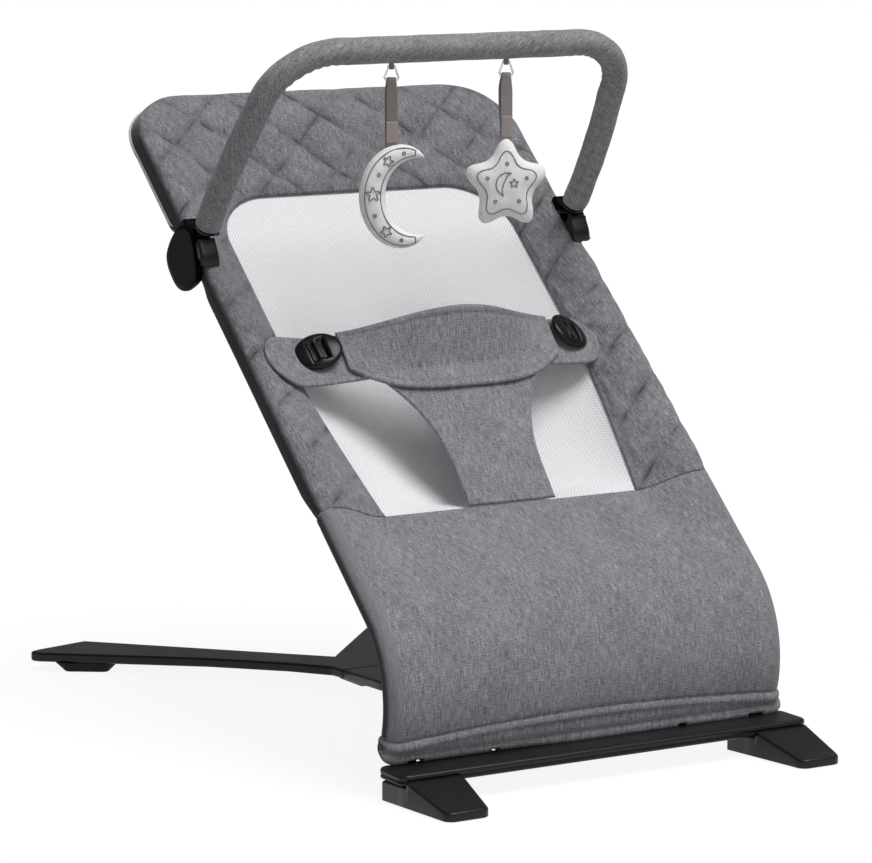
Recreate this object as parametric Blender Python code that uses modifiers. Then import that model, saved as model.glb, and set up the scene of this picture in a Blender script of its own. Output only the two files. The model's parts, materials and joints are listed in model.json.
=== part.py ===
"""Baby bouncer: a fabric sling on a bent tube frame, over a flat wishbone base, with a toy bar.

Metres, +Z up. X runs across the seat, the front feet point to -Y and the seat leans back to +Y.
The origin is on the floor, at the middle of the object's bounding box.
"""
import math

import bmesh
import bpy
from mathutils import Matrix, Vector

# Clearance between neighbouring pieces
GAP = 0.0003
SIDES = ((-1, "left"), (1, "right"))

# Base: a front bar on two wedge feet, a spine under it and a wishbone behind
BAR_PAST_SEAT = 0.0176
BAR_DEPTH = 0.0445
BAR_THICK = 0.0095
PLATE_BASE = 0.0095
PLATE_THICK = 0.0090
FOOT_REAR_Y = 0.0345
FOOT_TOE_Y = -0.0595
FOOT_TOE_TOP = 0.0090
FOOT_BAR_TOP = 0.0235
FOOT_OUTER_IN = (0.0001, 0.0091)
FOOT_INNER_IN = (0.0631, 0.0456)
FOOT_BASE = 0.0007
FOOT_PAD_THICK = 0.0024
FOOT_PAD_INSET = 0.0060
SPINE_HALF = 0.0185
SPINE_END_HALF = 0.0250
JOINT_Y = 0.4240
CROTCH_Y = 0.4813
LEG_TIP_IN = (0.1733, 0.6683)
LEG_TIP_OUT = (0.2395, 0.6490)
LEG_SHOULDER = (0.0510, 0.4762)
LEG_MID_OUT = (0.1135, 0.5404)
REAR_FOOT_AT = (0.1900, 0.6265)
REAR_FOOT_SIZE = (0.0600, 0.0360)
REAR_FOOT_TAPER = 0.70

# Seat frame: a loop of round tube, straight on the deck and bent down to the hinge at the bar
DECK_ANGLE = math.radians(41.8)
BEND_PAST_UPRIGHT = math.radians(20.8)
BEND_RADIUS = 0.0985
TUBE_RADIUS = 0.0078
TUBE_WALL = 0.0012
TUBE_HALF_SPAN = 0.1900
UPPER_CORNER = 0.0520
DECK_TOP = 0.6840
FRAME_JOINT_S = 0.3300
HINGE_BEHIND_BAR = 0.0016
HINGE_Z = 0.0418

# Fabric: a cover wrapped round the tube, with a mesh window in its middle
CLOTH = 0.0030
MESH_THICK = 0.0016
COVER_EASE = 0.0009
RIM_DROP = 0.0200
WINDOW_BOTTOM = 0.2015
HEAD_BAND = 0.1055
SIDE_BAND_LOW = 0.0595
SIDE_BAND_HIGH = 0.0390
WINDOW_STRAIGHT_FROM = 0.4200
WINDOW_CORNER = 0.0350
MESH_MARGIN = 0.0080
MESH_SAG = 0.0440
MESH_SAG_AT = 0.2900
WRAP_BACK = math.radians(140.0)
HEM_WRAP = 200.0

# Hinge brackets behind the bar, open at the front where the hem passes
BRACKET_OUTER_IN = 0.0155
BRACKET_OUTER_WIDTH = 0.0130
BRACKET_INNER_X = 0.0960
BRACKET_INNER_WIDTH = 0.0060
BRACKET_WALL = 0.0036
SADDLE_FROM = -132.0
SADDLE_TO = 98.0

# Harness: a belt with round wings, a crotch strap below it and a flap over both
BELT_LOW_S = 0.3400
BELT_TOP_S = 0.3980
BELT_DIP = 0.0180
BELT_SHORT = 0.0040
BELT_END_RADIUS = 0.0280
BELT_REST_N = 0.0040
BELT_CLEAR = 0.0013
BELT_WING = 0.0360
BELT_TOP_RISE = 0.0455
BELT_LOW_RISE = 0.0115
STRAP_HALF = 0.0450
STRAP_TOP_HALF = 0.0850
FLAP_HALF = 0.1100
FLAP_LOW_S = 0.3170
BUCKLE_FROM_END = 0.0537
BUCKLE_S = 0.3735
BUCKLE_SIZE = (0.0430, 0.0370)
BUCKLE_THICK = 0.0060
BUCKLE_LEAN = math.radians(8.0)
BUCKLE_LIFT = 0.0070
WEBBING_WIDTH = 0.0200
WEBBING_THICK = 0.0014

# Toy bar: an arch pinned to two clips that straddle the side tubes
ARCH_BASE_S = 0.5106
ARCH_BASE_N = 0.0304
ARCH_LEAN = math.radians(6.8)
ARCH_PAST_TUBE = 0.0042
ARCH_LEAN_IN = 0.0104
ARCH_RISE = 0.1950
ARCH_CORNER = 0.0600
SLEEVE_RADIUS = 0.0120
CORE_RADIUS = 0.0065
CORE_WALL = 0.0015
PIVOT_BELOW = 0.0085
PIN_RADIUS = 0.0020
EAR_RADIUS = 0.0062
CLIP_EASE = 0.0005
CLIP_PLATE = 0.0053
CLIP_FROM_ARCH = (-0.0048, -0.0065)
CLIP_HALF = (0.0293, 0.0262)
CLIP_POST_IN = 0.0100
CLIP_HOOK_BELOW = 0.0226

# Hanging toys
TOY_X = (-0.0695, 0.0491)
TOY_YAW = math.radians(-25.0)
LOOP_RADIUS = 0.0031
RING_HEIGHT = 0.0120
RING_HALF = 0.0062
RING_WIRE = 0.0010
STRAP_WIDTH = 0.0112
STRAP_LENGTH = 0.0570
MOON_SIZE = (0.0580, 0.0920)
STAR_SIZE = (0.0720, 0.0760)
TOY_THICK = 0.0210

# Worked out from the sizes above
ORIGIN_Y = (LEG_TIP_IN[1] + FOOT_TOE_Y) / 2
BAR_BASE = PLATE_BASE + PLATE_THICK + GAP
BAR_TOP = BAR_BASE + BAR_THICK
HINGE_Y = BAR_DEPTH + HINGE_BEHIND_BAR
BEND_TURN = math.pi / 2 - DECK_ANGLE + BEND_PAST_UPRIGHT
DECK_N = BEND_RADIUS * (1 - math.cos(BEND_TURN))
BEND_END_S = BEND_RADIUS * math.sin(BEND_TURN)
BEND_LENGTH = BEND_RADIUS * BEND_TURN
COVER_RADIUS = TUBE_RADIUS + CLOTH / 2 + COVER_EASE
FRONT_N = COVER_RADIUS + CLOTH / 2
RIM_N = COVER_RADIUS - RIM_DROP
BAR_HALF = TUBE_HALF_SPAN + BAR_PAST_SEAT
FOOT_OUTER = [BAR_HALF - inset for inset in FOOT_OUTER_IN]
FOOT_INNER = [BAR_HALF - inset for inset in FOOT_INNER_IN]
WINDOW_TOP = DECK_TOP - HEAD_BAND
WINDOW_HALF_LOW = TUBE_HALF_SPAN - SIDE_BAND_LOW
WINDOW_HALF_HIGH = TUBE_HALF_SPAN - SIDE_BAND_HIGH
BRACKET_OUTER_X = TUBE_HALF_SPAN - BRACKET_OUTER_IN
BELT_END_N = FRONT_N + BELT_CLEAR
BELT_HALF = TUBE_HALF_SPAN - BELT_SHORT
BELT_ARCH_HALF = BELT_HALF - BELT_WING
BUCKLE_X = BELT_HALF - BUCKLE_FROM_END
ARCH_HALF = TUBE_HALF_SPAN + ARCH_PAST_TUBE
ARCH_TOP_HALF = ARCH_HALF - ARCH_LEAN_IN
CLIP_INSIDE = TUBE_HALF_SPAN + COVER_RADIUS + CLOTH / 2 + CLIP_EASE
CLIP_POST_FROM = TUBE_HALF_SPAN - CLIP_POST_IN
CLIP_CENTER = (ARCH_BASE_S + CLIP_FROM_ARCH[0], CLIP_FROM_ARCH[1])
CLIP_HOOK_S = ARCH_BASE_S - CLIP_HOOK_BELOW


def clear_scene():
    for obj in list(bpy.data.objects):
        bpy.data.objects.remove(obj, do_unlink=True)


def new_collection(name):
    collection = bpy.data.collections.new(name)
    bpy.context.scene.collection.children.link(collection)
    return collection


def material(name, color, roughness, metallic=0.0):
    mat = bpy.data.materials.new(name)
    mat.use_nodes = True
    shader = mat.node_tree.nodes["Principled BSDF"]
    shader.inputs["Base Color"].default_value = (*color, 1.0)
    shader.inputs["Roughness"].default_value = roughness
    shader.inputs["Metallic"].default_value = metallic
    return mat


def keep(obj, parent, mat, smooth=True):
    """Link a part to the model, hang it and its cutters on its parent, and shade it."""
    for other in list(obj.users_collection):
        other.objects.unlink(obj)
    PARTS.objects.link(obj)
    obj.parent = parent
    for mod in obj.modifiers:
        if mod.type == "BOOLEAN":
            mod.object.parent = parent
    obj.data.materials.clear()
    obj.data.materials.append(mat)
    if smooth and obj.type == "MESH":
        obj.data.shade_smooth()
        obj.data.set_sharp_from_angle(angle=math.radians(35))
    return obj


def frame_empty(name, parent, location=(0, 0, 0), rotation_x=0.0, rotation_z=0.0):
    empty = bpy.data.objects.new(name, None)
    PARTS.objects.link(empty)
    empty.parent = parent
    empty.location = location
    empty.rotation_euler = (rotation_x, 0.0, rotation_z)
    return empty


def mesh_object(name, bm):
    """Finish a bmesh as an object, with its faces outward where it encloses a volume."""
    bmesh.ops.recalc_face_normals(bm, faces=bm.faces)
    if bm.calc_volume(signed=True) < 0 and all(edge.is_manifold for edge in bm.edges):
        bmesh.ops.reverse_faces(bm, faces=bm.faces)
    data = bpy.data.meshes.new(name)
    bm.to_mesh(data)
    bm.free()
    return bpy.data.objects.new(name, data)


def box(name, low, high):
    bm = bmesh.new()
    bmesh.ops.create_cube(bm, size=1.0)
    for vert in bm.verts:
        for axis in range(3):
            vert.co[axis] = high[axis] if vert.co[axis] > 0 else low[axis]
    return mesh_object(name, bm)


def rod(name, radius, start, end, sides=20):
    """A cylinder of the given radius between two points."""
    start, end = Vector(start), Vector(end)
    bm = bmesh.new()
    bmesh.ops.create_cone(
        bm, cap_ends=True, segments=sides, radius1=radius, radius2=radius, depth=(end - start).length
    )
    turn = (end - start).to_track_quat("Z", "Y").to_matrix().to_4x4()
    bm.transform(Matrix.Translation((start + end) / 2) @ turn)
    return mesh_object(name, bm)


def prism(name, outline, low, high, axis="Z"):
    """A flat outline filled as a 2D curve, given half its thickness, and stood along an axis."""
    curve = bpy.data.curves.new(name, "CURVE")
    curve.dimensions = "2D"
    curve.fill_mode = "BOTH"
    curve.extrude = (high - low) / 2
    spline = curve.splines.new("POLY")
    spline.points.add(len(outline) - 1)
    for point, (a, b) in zip(spline.points, outline):
        point.co = (a, b, 0.0, 1.0)
    spline.use_cyclic_u = True
    guide = bpy.data.objects.new(name + "_outline", curve)
    bpy.context.scene.collection.objects.link(guide)
    bpy.context.view_layer.update()
    evaluated = guide.evaluated_get(bpy.context.evaluated_depsgraph_get())
    data = bpy.data.meshes.new_from_object(evaluated)
    bpy.data.objects.remove(guide, do_unlink=True)
    bpy.data.curves.remove(curve)
    bm = bmesh.new()
    bm.from_mesh(data)
    bpy.data.meshes.remove(data)
    bmesh.ops.remove_doubles(bm, verts=bm.verts, dist=0.00001)
    bm.transform(Matrix.Translation((0, 0, (low + high) / 2)))
    if axis == "X":
        bm.transform(Matrix(((0, 0, 1, 0), (1, 0, 0, 0), (0, 1, 0, 0), (0, 0, 0, 1))))
    return mesh_object(name, bm)


def bevel(obj, width, segments=2, angle=30.0):
    mod = obj.modifiers.new("Rounded edges", "BEVEL")
    mod.width = width
    mod.segments = segments
    mod.limit_method = "ANGLE"
    mod.angle_limit = math.radians(angle)
    return obj


def boolean(obj, other, operation):
    """Join or cut with another object, which goes with the cutters."""
    for collection in list(other.users_collection):
        collection.objects.unlink(other)
    CUTTERS.objects.link(other)
    other.hide_render = True
    other.display_type = "WIRE"
    mod = obj.modifiers.new(operation.title(), "BOOLEAN")
    mod.operation = operation
    mod.object = other
    mod.solver = "EXACT"
    return obj


def tube(name, points, radius, wall, resolution=3):
    """A bent tube, open at both ends, as a curve with a wall."""
    curve = bpy.data.curves.new(name, "CURVE")
    curve.dimensions = "3D"
    curve.bevel_depth = radius
    curve.bevel_resolution = resolution
    curve.use_fill_caps = False
    spline = curve.splines.new("POLY")
    spline.points.add(len(points) - 1)
    for point, place in zip(spline.points, points):
        point.co = (*place, 1.0)
    obj = bpy.data.objects.new(name, curve)
    weld = obj.modifiers.new("Weld", "WELD")
    weld.merge_threshold = 0.00001
    shell = obj.modifiers.new("Wall", "SOLIDIFY")
    shell.thickness = wall
    shell.offset = -1.0
    return obj


def wire_ring(name, points, radius):
    curve = bpy.data.curves.new(name, "CURVE")
    curve.dimensions = "3D"
    curve.bevel_depth = radius
    curve.bevel_resolution = 2
    spline = curve.splines.new("POLY")
    spline.points.add(len(points) - 1)
    for point, place in zip(spline.points, points):
        point.co = (*place, 1.0)
    spline.use_cyclic_u = True
    return bpy.data.objects.new(name, curve)


def sheet(name, columns, rows, place, thickness, skip=None):
    """A cloth panel: place(column, row) gives each point of its middle layer."""
    bm = bmesh.new()
    grid = [[bm.verts.new(place(c, r)) for c in columns] for r in rows]
    for i in range(len(rows) - 1):
        for j in range(len(columns) - 1):
            if skip and skip((columns[j] + columns[j + 1]) / 2, (rows[i] + rows[i + 1]) / 2):
                continue
            bm.faces.new((grid[i][j], grid[i][j + 1], grid[i + 1][j + 1], grid[i + 1][j]))
    loose = [v for v in bm.verts if not v.link_faces]
    bmesh.ops.delete(bm, geom=loose, context="VERTS")
    obj = mesh_object(name, bm)
    shell = obj.modifiers.new("Cloth thickness", "SOLIDIFY")
    shell.thickness = thickness
    shell.offset = 0.0
    return obj


def spread(low, high, count):
    return [low + (high - low) * i / (count - 1) for i in range(count)]


def arc(center, radius, start, end, count):
    """Points of a circle's arc in a plane, angles in degrees."""
    turns = [math.radians(a) for a in spread(start, end, count)]
    return [(center[0] + radius * math.cos(t), center[1] + radius * math.sin(t)) for t in turns]


def ease(t):
    t = min(max(t, 0.0), 1.0)
    return (1 - math.cos(math.pi * t)) / 2


def mix(a, b, t):
    return a + (b - a) * t


def rounded_box_outline(low, high, radius, steps=4):
    (x0, y0), (x1, y1) = low, high
    corners = (((x1, y1), 0), ((x0, y1), 90), ((x0, y0), 180), ((x1, y0), 270))
    outline = []
    for (x, y), start in corners:
        center = (x - math.copysign(radius, x - (x0 + x1) / 2), y - math.copysign(radius, y - (y0 + y1) / 2))
        outline += arc(center, radius, start, start + 90, steps)
    return outline


# Base

def make_front_bar():
    front, rear = 0.0085, 0.0040
    half = arc((BAR_HALF - front, front), front, -90, 0, 5)
    half += arc((BAR_HALF - rear, BAR_DEPTH - rear), rear, 0, 90, 4)
    outline = half + [(-x, y) for x, y in reversed(half)]
    bar = prism("front_bar", outline, BAR_BASE, BAR_TOP)
    keep(bevel(bar, 0.0036, 3), ROOT, PLASTIC)


def foot_outline(side, toe, inset):
    """A front foot from above: straight behind, narrowing to a round toe, drawn in by an inset."""
    inner, outer = FOOT_INNER[0] + inset, FOOT_OUTER[0] - inset
    rear, front = FOOT_REAR_Y - inset, FOOT_TOE_Y + inset
    toe_inner, toe_outer = FOOT_INNER[1] + inset, FOOT_OUTER[1] - inset
    outline = [(inner, rear), (outer, rear)]
    outline += arc((toe_outer - toe, front + toe), toe, 0, -90, 5)
    outline += arc((toe_inner + toe, front + toe), toe, -90, -180, 5)
    return [(side * x, y) for x, y in outline]


def make_front_feet():
    """Wedges with round toes; one cutter slopes both tops and lets the bar in."""
    slope = [
        (FOOT_TOE_Y - 0.02, FOOT_TOE_TOP),
        (FOOT_TOE_Y + 0.006, FOOT_TOE_TOP),
        (-GAP, FOOT_BAR_TOP),
        (-GAP, BAR_BASE - GAP),
        (FOOT_REAR_Y + 0.02, BAR_BASE - GAP),
        (FOOT_REAR_Y + 0.02, FOOT_BAR_TOP + 0.02),
        (FOOT_TOE_Y - 0.02, FOOT_BAR_TOP + 0.02),
    ]
    toe = 0.0085
    for side, word in SIDES:
        outline = foot_outline(side, toe, 0.0)
        foot = prism("front_foot_" + word, outline, FOOT_BASE, FOOT_BAR_TOP + 0.004)
        cutter = prism("front_foot_slope_" + word, slope, -BAR_HALF - 0.03, BAR_HALF + 0.03, "X")
        boolean(foot, cutter, "DIFFERENCE")
        pocket = foot_outline(side, toe, FOOT_PAD_INSET - GAP)
        boolean(foot, prism("foot_pocket_" + word, pocket, -0.01, FOOT_PAD_THICK + GAP), "DIFFERENCE")
        keep(bevel(foot, 0.0014, 2, 25.0), ROOT, PLASTIC)
        pad = prism("front_foot_pad_" + word, foot_outline(side, toe, FOOT_PAD_INSET), 0.0, FOOT_PAD_THICK)
        keep(pad, ROOT, RUBBER)


def make_spine():
    top = PLATE_BASE + PLATE_THICK
    outline = [
        (-SPINE_HALF, 0.0060),
        (SPINE_HALF, 0.0060),
        (SPINE_HALF, 0.3600),
        (SPINE_END_HALF - 0.0020, JOINT_Y - GAP),
        (-SPINE_END_HALF + 0.0020, JOINT_Y - GAP),
        (-SPINE_HALF, 0.3600),
    ]
    keep(bevel(prism("spine", outline, PLATE_BASE, top), 0.0022, 2), ROOT, STEEL)


def make_wishbone():
    """One flat V: its legs widen towards their round tips."""
    half = [(SPINE_END_HALF - 0.0020, JOINT_Y), (SPINE_END_HALF + 0.0006, 0.4417), LEG_SHOULDER, LEG_MID_OUT]
    half += [(0.2250, 0.6315), (0.2345, 0.6392), LEG_TIP_OUT, (0.2375, 0.6525), (0.2320, 0.6550)]
    half += [(0.2200, 0.6580), LEG_TIP_IN]
    outline = half + [(0.0, CROTCH_Y)] + [(-x, y) for x, y in reversed(half)]
    wishbone = prism("wishbone", outline, PLATE_BASE, PLATE_BASE + PLATE_THICK)
    keep(bevel(wishbone, 0.0022, 2), ROOT, STEEL)


def make_junction():
    """A strap plate under the joint of spine and wishbone, with its screws."""
    base = PLATE_BASE - GAP - 0.0026
    outline = rounded_box_outline((-0.0170, JOINT_Y - 0.0260), (0.0170, JOINT_Y + 0.0200), 0.0040)
    plate = prism("junction_plate", outline, base, PLATE_BASE - GAP)
    for side, word in SIDES:
        for end, dy in (("front", -0.0150), ("rear", 0.0110)):
            x, y = side * 0.0090, JOINT_Y + dy
            cut = rod("junction_hole_%s_%s" % (end, word), 0.0023, (x, y, base - 0.002), (x, y, 0.012), 16)
            boolean(plate, cut, "DIFFERENCE")
            shank = (x, y, base - GAP - 0.0005), (x, y, PLATE_BASE - GAP)
            screw = rod("junction_screw_%s_%s" % (end, word), 0.0020, *shank, 12)
            head = rod("screw_head_%s_%s" % (end, word), 0.0038, (x, y, base - 0.0016), (x, y, base - GAP), 12)
            boolean(screw, head, "UNION")
            keep(screw, ROOT, SCREW)
    keep(plate, ROOT, STEEL)


def make_rear_feet():
    """Rubber pads that narrow towards the floor, turned along the legs."""
    along = Vector((LEG_TIP_IN[0] + LEG_TIP_OUT[0] - LEG_MID_OUT[0] * 2, LEG_TIP_IN[1] - LEG_MID_OUT[1]))
    angle = math.atan2(along.y, along.x)
    for side, word in SIDES:
        half = (REAR_FOOT_SIZE[0] / 2, REAR_FOOT_SIZE[1] / 2)
        outline = rounded_box_outline((-half[0], -half[1]), half, 0.0080)
        foot = prism("rear_foot_" + word, outline, 0.0, PLATE_BASE - GAP)
        for vert in foot.data.vertices:
            if vert.co.z < 0.001:
                vert.co.x *= REAR_FOOT_TAPER
                vert.co.y *= REAR_FOOT_TAPER
        turn = angle if side > 0 else math.pi - angle
        place = Matrix.Translation((side * REAR_FOOT_AT[0], REAR_FOOT_AT[1], 0.0))
        foot.data.transform(place @ Matrix.Rotation(turn, 4, "Z"))
        keep(foot, ROOT, RUBBER)


def make_brackets():
    """C-shaped saddles round the cross tube, each with a tail that runs down behind the bar."""
    bore = TUBE_RADIUS + GAP
    outer = bore + BRACKET_WALL
    rear = BAR_DEPTH + GAP
    past = math.degrees(math.acos((rear - HINGE_Y) / outer))
    axis = (HINGE_Y, HINGE_Z)
    outline = arc(axis, outer, SADDLE_FROM, -past, 4)
    outline += [(rear, BAR_BASE + 0.0010), (HINGE_Y + outer, BAR_BASE + 0.0010)]
    outline += arc(axis, outer, 0, SADDLE_TO, 9)
    outline += arc(axis, bore, SADDLE_TO, SADDLE_FROM, 17)
    for side, word in SIDES:
        for name, at, width in (
            ("outer", BRACKET_OUTER_X, BRACKET_OUTER_WIDTH),
            ("inner", BRACKET_INNER_X, BRACKET_INNER_WIDTH),
        ):
            middle = side * at
            ends = (middle - width / 2, middle + width / 2)
            keep(prism("hinge_bracket_%s_%s" % (name, word), outline, *ends, "X"), ROOT, PLASTIC)


def make_bracket_screws():
    """Flat-head screws that hold the outer bracket tails to the bar."""
    for side, word in SIDES:
        x = side * BRACKET_OUTER_X
        y = HINGE_Y + TUBE_RADIUS + GAP + BRACKET_WALL + GAP
        z = BAR_BASE + BAR_THICK / 2
        keep(rod("bracket_screw_" + word, 0.0030, (x, y, z), (x, y + 0.0014, z), 12), ROOT, SCREW)


# Seat frame

def path_point(t):
    """Middle line of a side tube, (s, n, direction), at a length t up from the hinge axis.

    s runs up the deck's slope and n out of it, both from the hinge axis; past the bend it is straight.
    """
    direction = BEND_TURN - min(t, BEND_LENGTH) / BEND_RADIUS
    s = BEND_RADIUS * (math.sin(BEND_TURN) - math.sin(direction))
    n = BEND_RADIUS * (math.cos(direction) - math.cos(BEND_TURN))
    return s + max(t - BEND_LENGTH, 0.0), n, direction


def make_frame_tubes():
    """A bent tube on each side, a straight cross tube between their ends and a U over the top."""
    joint = FRAME_JOINT_S
    inner = TUBE_RADIUS - TUBE_WALL - 0.0006
    for side, word in SIDES:
        x = side * TUBE_HALF_SPAN
        middle = [path_point(t) for t in spread(0.0, BEND_LENGTH, 11)]
        points = [(x, s, n) for s, n, _ in middle] + [(x, joint - GAP, DECK_N)]
        keep(tube("side_tube_" + word, points, TUBE_RADIUS, TUBE_WALL), SEAT, STEEL)
        plug = rod("frame_insert_" + word, inner, (x, joint - 0.03, DECK_N), (x, joint + 0.03, DECK_N), 10)
        keep(plug, SEAT, STEEL)
    ends = TUBE_HALF_SPAN - TUBE_RADIUS - GAP
    keep(tube("cross_tube", [(-ends, 0, 0), (ends, 0, 0)], TUBE_RADIUS, TUBE_WALL), SEAT, STEEL)
    center = (TUBE_HALF_SPAN - UPPER_CORNER, DECK_TOP - UPPER_CORNER)
    half = [(TUBE_HALF_SPAN, joint)] + arc(center, UPPER_CORNER, 0, 90, 7)
    upper = [(-x, s, DECK_N) for x, s in half] + [(x, s, DECK_N) for x, s in reversed(half)]
    keep(tube("upper_frame_tube", upper, TUBE_RADIUS, TUBE_WALL), SEAT, STEEL)


# Fabric cover. Each panel's middle layer is a function of two numbers.

def wrap_offset(angle):
    """Distance outwards and along n of a cover point, at an angle from the front of the tube."""
    return COVER_RADIUS * math.sin(angle), COVER_RADIUS * math.cos(angle)


def border_section(k, tube_at, rim_at, outward):
    """Across the border: k from 0 at the window's rim to 1 at the tube, then to 2 round its back."""
    if k <= 1:
        x, s = mix(rim_at[0], tube_at[0], k), mix(rim_at[1], tube_at[1], k)
        return x, s, DECK_N + mix(RIM_N, COVER_RADIUS, ease(k))
    out, up = wrap_offset((k - 1) * WRAP_BACK)
    return tube_at[0] + outward[0] * out, tube_at[1] + outward[1] * out, DECK_N + up


def window_half(s):
    t = (s - WINDOW_BOTTOM) / (WINDOW_STRAIGHT_FROM - WINDOW_BOTTOM)
    return mix(WINDOW_HALF_LOW, WINDOW_HALF_HIGH, math.sin(min(max(t, 0.0), 1.0) * math.pi / 2))


def border_station(t):
    """Tube point, rim point and outward direction of the right half, at a length t along it.

    t goes from 0 at the lower end to 1 below the corner, 2 past it and 3 at the top's middle.
    """
    tube_corner = (TUBE_HALF_SPAN - UPPER_CORNER, DECK_TOP - UPPER_CORNER)
    rim_corner = (WINDOW_HALF_HIGH - WINDOW_CORNER, WINDOW_TOP - WINDOW_CORNER)
    if t <= 1:
        low = WINDOW_BOTTOM + GAP
        rim_s = mix(low, rim_corner[1], t)
        return (TUBE_HALF_SPAN, mix(low, tube_corner[1], t)), (window_half(rim_s), rim_s), (1.0, 0.0)
    if t <= 2:
        angle = (t - 1) * math.pi / 2
        turn = Vector((math.cos(angle), math.sin(angle)))
        return Vector(tube_corner) + turn * UPPER_CORNER, Vector(rim_corner) + turn * WINDOW_CORNER, turn
    flat = 3 - t
    return (tube_corner[0] * flat, DECK_TOP), (rim_corner[0] * flat, WINDOW_TOP), (0.0, 1.0)


def make_quilted_border():
    stations = spread(0, 1, 8) + spread(1, 2, 6)[1:] + spread(2, 3, 5)[1:]
    rows = stations + [6 - t for t in reversed(stations[:-1])]
    columns = spread(0, 1, 6) + spread(1, 2, 7)[1:]

    def place(k, t):
        side = 1
        if t > 3:
            t, side = 6 - t, -1
        x, s, n = border_section(k, *border_station(t))
        return side * x, s, n

    keep(sheet("quilted_border", columns, rows, place, CLOTH), SEAT, FABRIC)


def make_lower_panel():
    """From the window down over the bend, then round the cross tube as a hem with bracket slots."""
    top_t = BEND_LENGTH + WINDOW_BOTTOM - BEND_END_S
    low_t = 0.0120
    hem_row = 100.0
    hem_half = TUBE_HALF_SPAN + COVER_RADIUS - 0.0015
    brackets = ((BRACKET_INNER_X, BRACKET_INNER_WIDTH), (BRACKET_OUTER_X, BRACKET_OUTER_WIDTH))
    slots = [((at - width / 2 - 0.0015) / hem_half, (at + width / 2 + 0.0015) / hem_half)
             for at, width in brackets]
    inner = sorted([edge for slot in slots for edge in slot] + [0.0, 0.20, 0.34, 0.64, 0.74])
    wrap = [1.0 + 0.2 * i for i in range(6)]
    half = inner + wrap
    columns = [-c for c in reversed(half[1:])] + half
    rows = spread(top_t, BEND_LENGTH, 5) + spread(BEND_LENGTH, low_t, 9)[1:]
    rows += [hem_row + angle for angle in spread(0, HEM_WRAP, 11)]

    def place(c, r):
        if r >= hem_row:
            turn = BEND_TURN + math.pi / 2 + math.radians(r - hem_row)
            x = min(max(c, -1.0), 1.0) * hem_half
            return x, COVER_RADIUS * math.cos(turn), COVER_RADIUS * math.sin(turn)
        s, n, direction = path_point(r)
        if abs(c) > 1:
            out, up = wrap_offset((abs(c) - 1) * WRAP_BACK)
            x = math.copysign(TUBE_HALF_SPAN + out, c)
        else:
            x = c * TUBE_HALF_SPAN
            k = (TUBE_HALF_SPAN - abs(x)) / (TUBE_HALF_SPAN - window_half(WINDOW_BOTTOM))
            depth = RIM_DROP * ease((r - BEND_LENGTH) / (top_t - BEND_LENGTH))
            up = COVER_RADIUS - depth * ease(k)
        return x, s - math.sin(direction) * up, n + math.cos(direction) * up

    def skip(c, r):
        if abs(c) > 1:
            return r > BEND_LENGTH + 1
        in_slot = any(low < abs(c) < high for low, high in slots)
        return in_slot and r > hem_row + 15

    keep(sheet("lower_panel", columns, rows, place, CLOTH, skip), SEAT, FABRIC)


def mesh_depth(x, s):
    """How far the mesh hangs behind its rim: deepest low down, as a seated child pushes it."""
    half = window_half(s)
    across = max(1 - (x / half) ** 2, 0.0)
    if s < MESH_SAG_AT:
        along = (s - WINDOW_BOTTOM) / (MESH_SAG_AT - WINDOW_BOTTOM)
    else:
        along = (WINDOW_TOP - s) / (WINDOW_TOP - MESH_SAG_AT)
    return MESH_SAG * across ** 0.75 * ease(along)


def make_mesh_panel():
    """The airy panel behind the window; its edge lies behind the cover's rim."""
    low = WINDOW_BOTTOM - MESH_MARGIN * 0.5
    high = WINDOW_TOP + MESH_MARGIN
    level = DECK_N + RIM_N - (CLOTH + MESH_THICK) / 2 - GAP

    def place(k, s):
        half = window_half(s) + MESH_MARGIN
        corner = WINDOW_CORNER + MESH_MARGIN
        over = s - (high - corner)
        if over > 0:
            half += math.sqrt(max(corner ** 2 - over ** 2, 0.0)) - corner
        x = k * half
        return x, s, level - mesh_depth(x, min(max(s, WINDOW_BOTTOM), WINDOW_TOP))

    corner = [high - (WINDOW_CORNER + MESH_MARGIN) * (1 - f) for f in (0.35, 0.65, 0.85, 0.97)]
    rows = spread(low, high - WINDOW_CORNER - MESH_MARGIN, 13) + corner
    keep(sheet("mesh_panel", spread(-1, 1, 15), rows, place, MESH_THICK), SEAT, MESH)


# Harness

def belt_top_s(x):
    """Upper edge of the belt: level at the wings, dipping to the middle."""
    return BELT_TOP_S - BELT_DIP * max(1 - (x / BELT_ARCH_HALF) ** 2, 0.0)


def harness_n(x, s):
    """Height of the harness's first layer: wings on the covers, and a mouth that gapes at the top."""
    wing = mix(BELT_REST_N, BELT_END_N, ease((abs(x) - BELT_ARCH_HALF) / (BELT_HALF - BELT_ARCH_HALF)))
    arch = math.cos(math.pi / 2 * min(abs(x) / BELT_ARCH_HALF, 1.0)) ** 2
    low = wing + BELT_LOW_RISE * arch
    if s >= BELT_LOW_S:
        up = (s - BELT_LOW_S) / (belt_top_s(x) - BELT_LOW_S)
        return DECK_N + low + (BELT_TOP_RISE - BELT_LOW_RISE) * arch * up
    t = (s - WINDOW_BOTTOM) / (BELT_LOW_S - WINDOW_BOTTOM)
    return DECK_N + mix(RIM_N, low, t)


def belt_columns(end):
    """The same places across the belt for each of its layers, so that the layers stay apart."""
    ends = [BELT_HALF - inset for inset in (0.0640, 0.0440, 0.0300, 0.0190, 0.0100, 0.0040, 0.0004)]
    marks = spread(0.0, FLAP_HALF, 7) + ends
    half = [x for x in marks if x <= end]
    return [-x for x in reversed(half[1:])] + half


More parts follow.
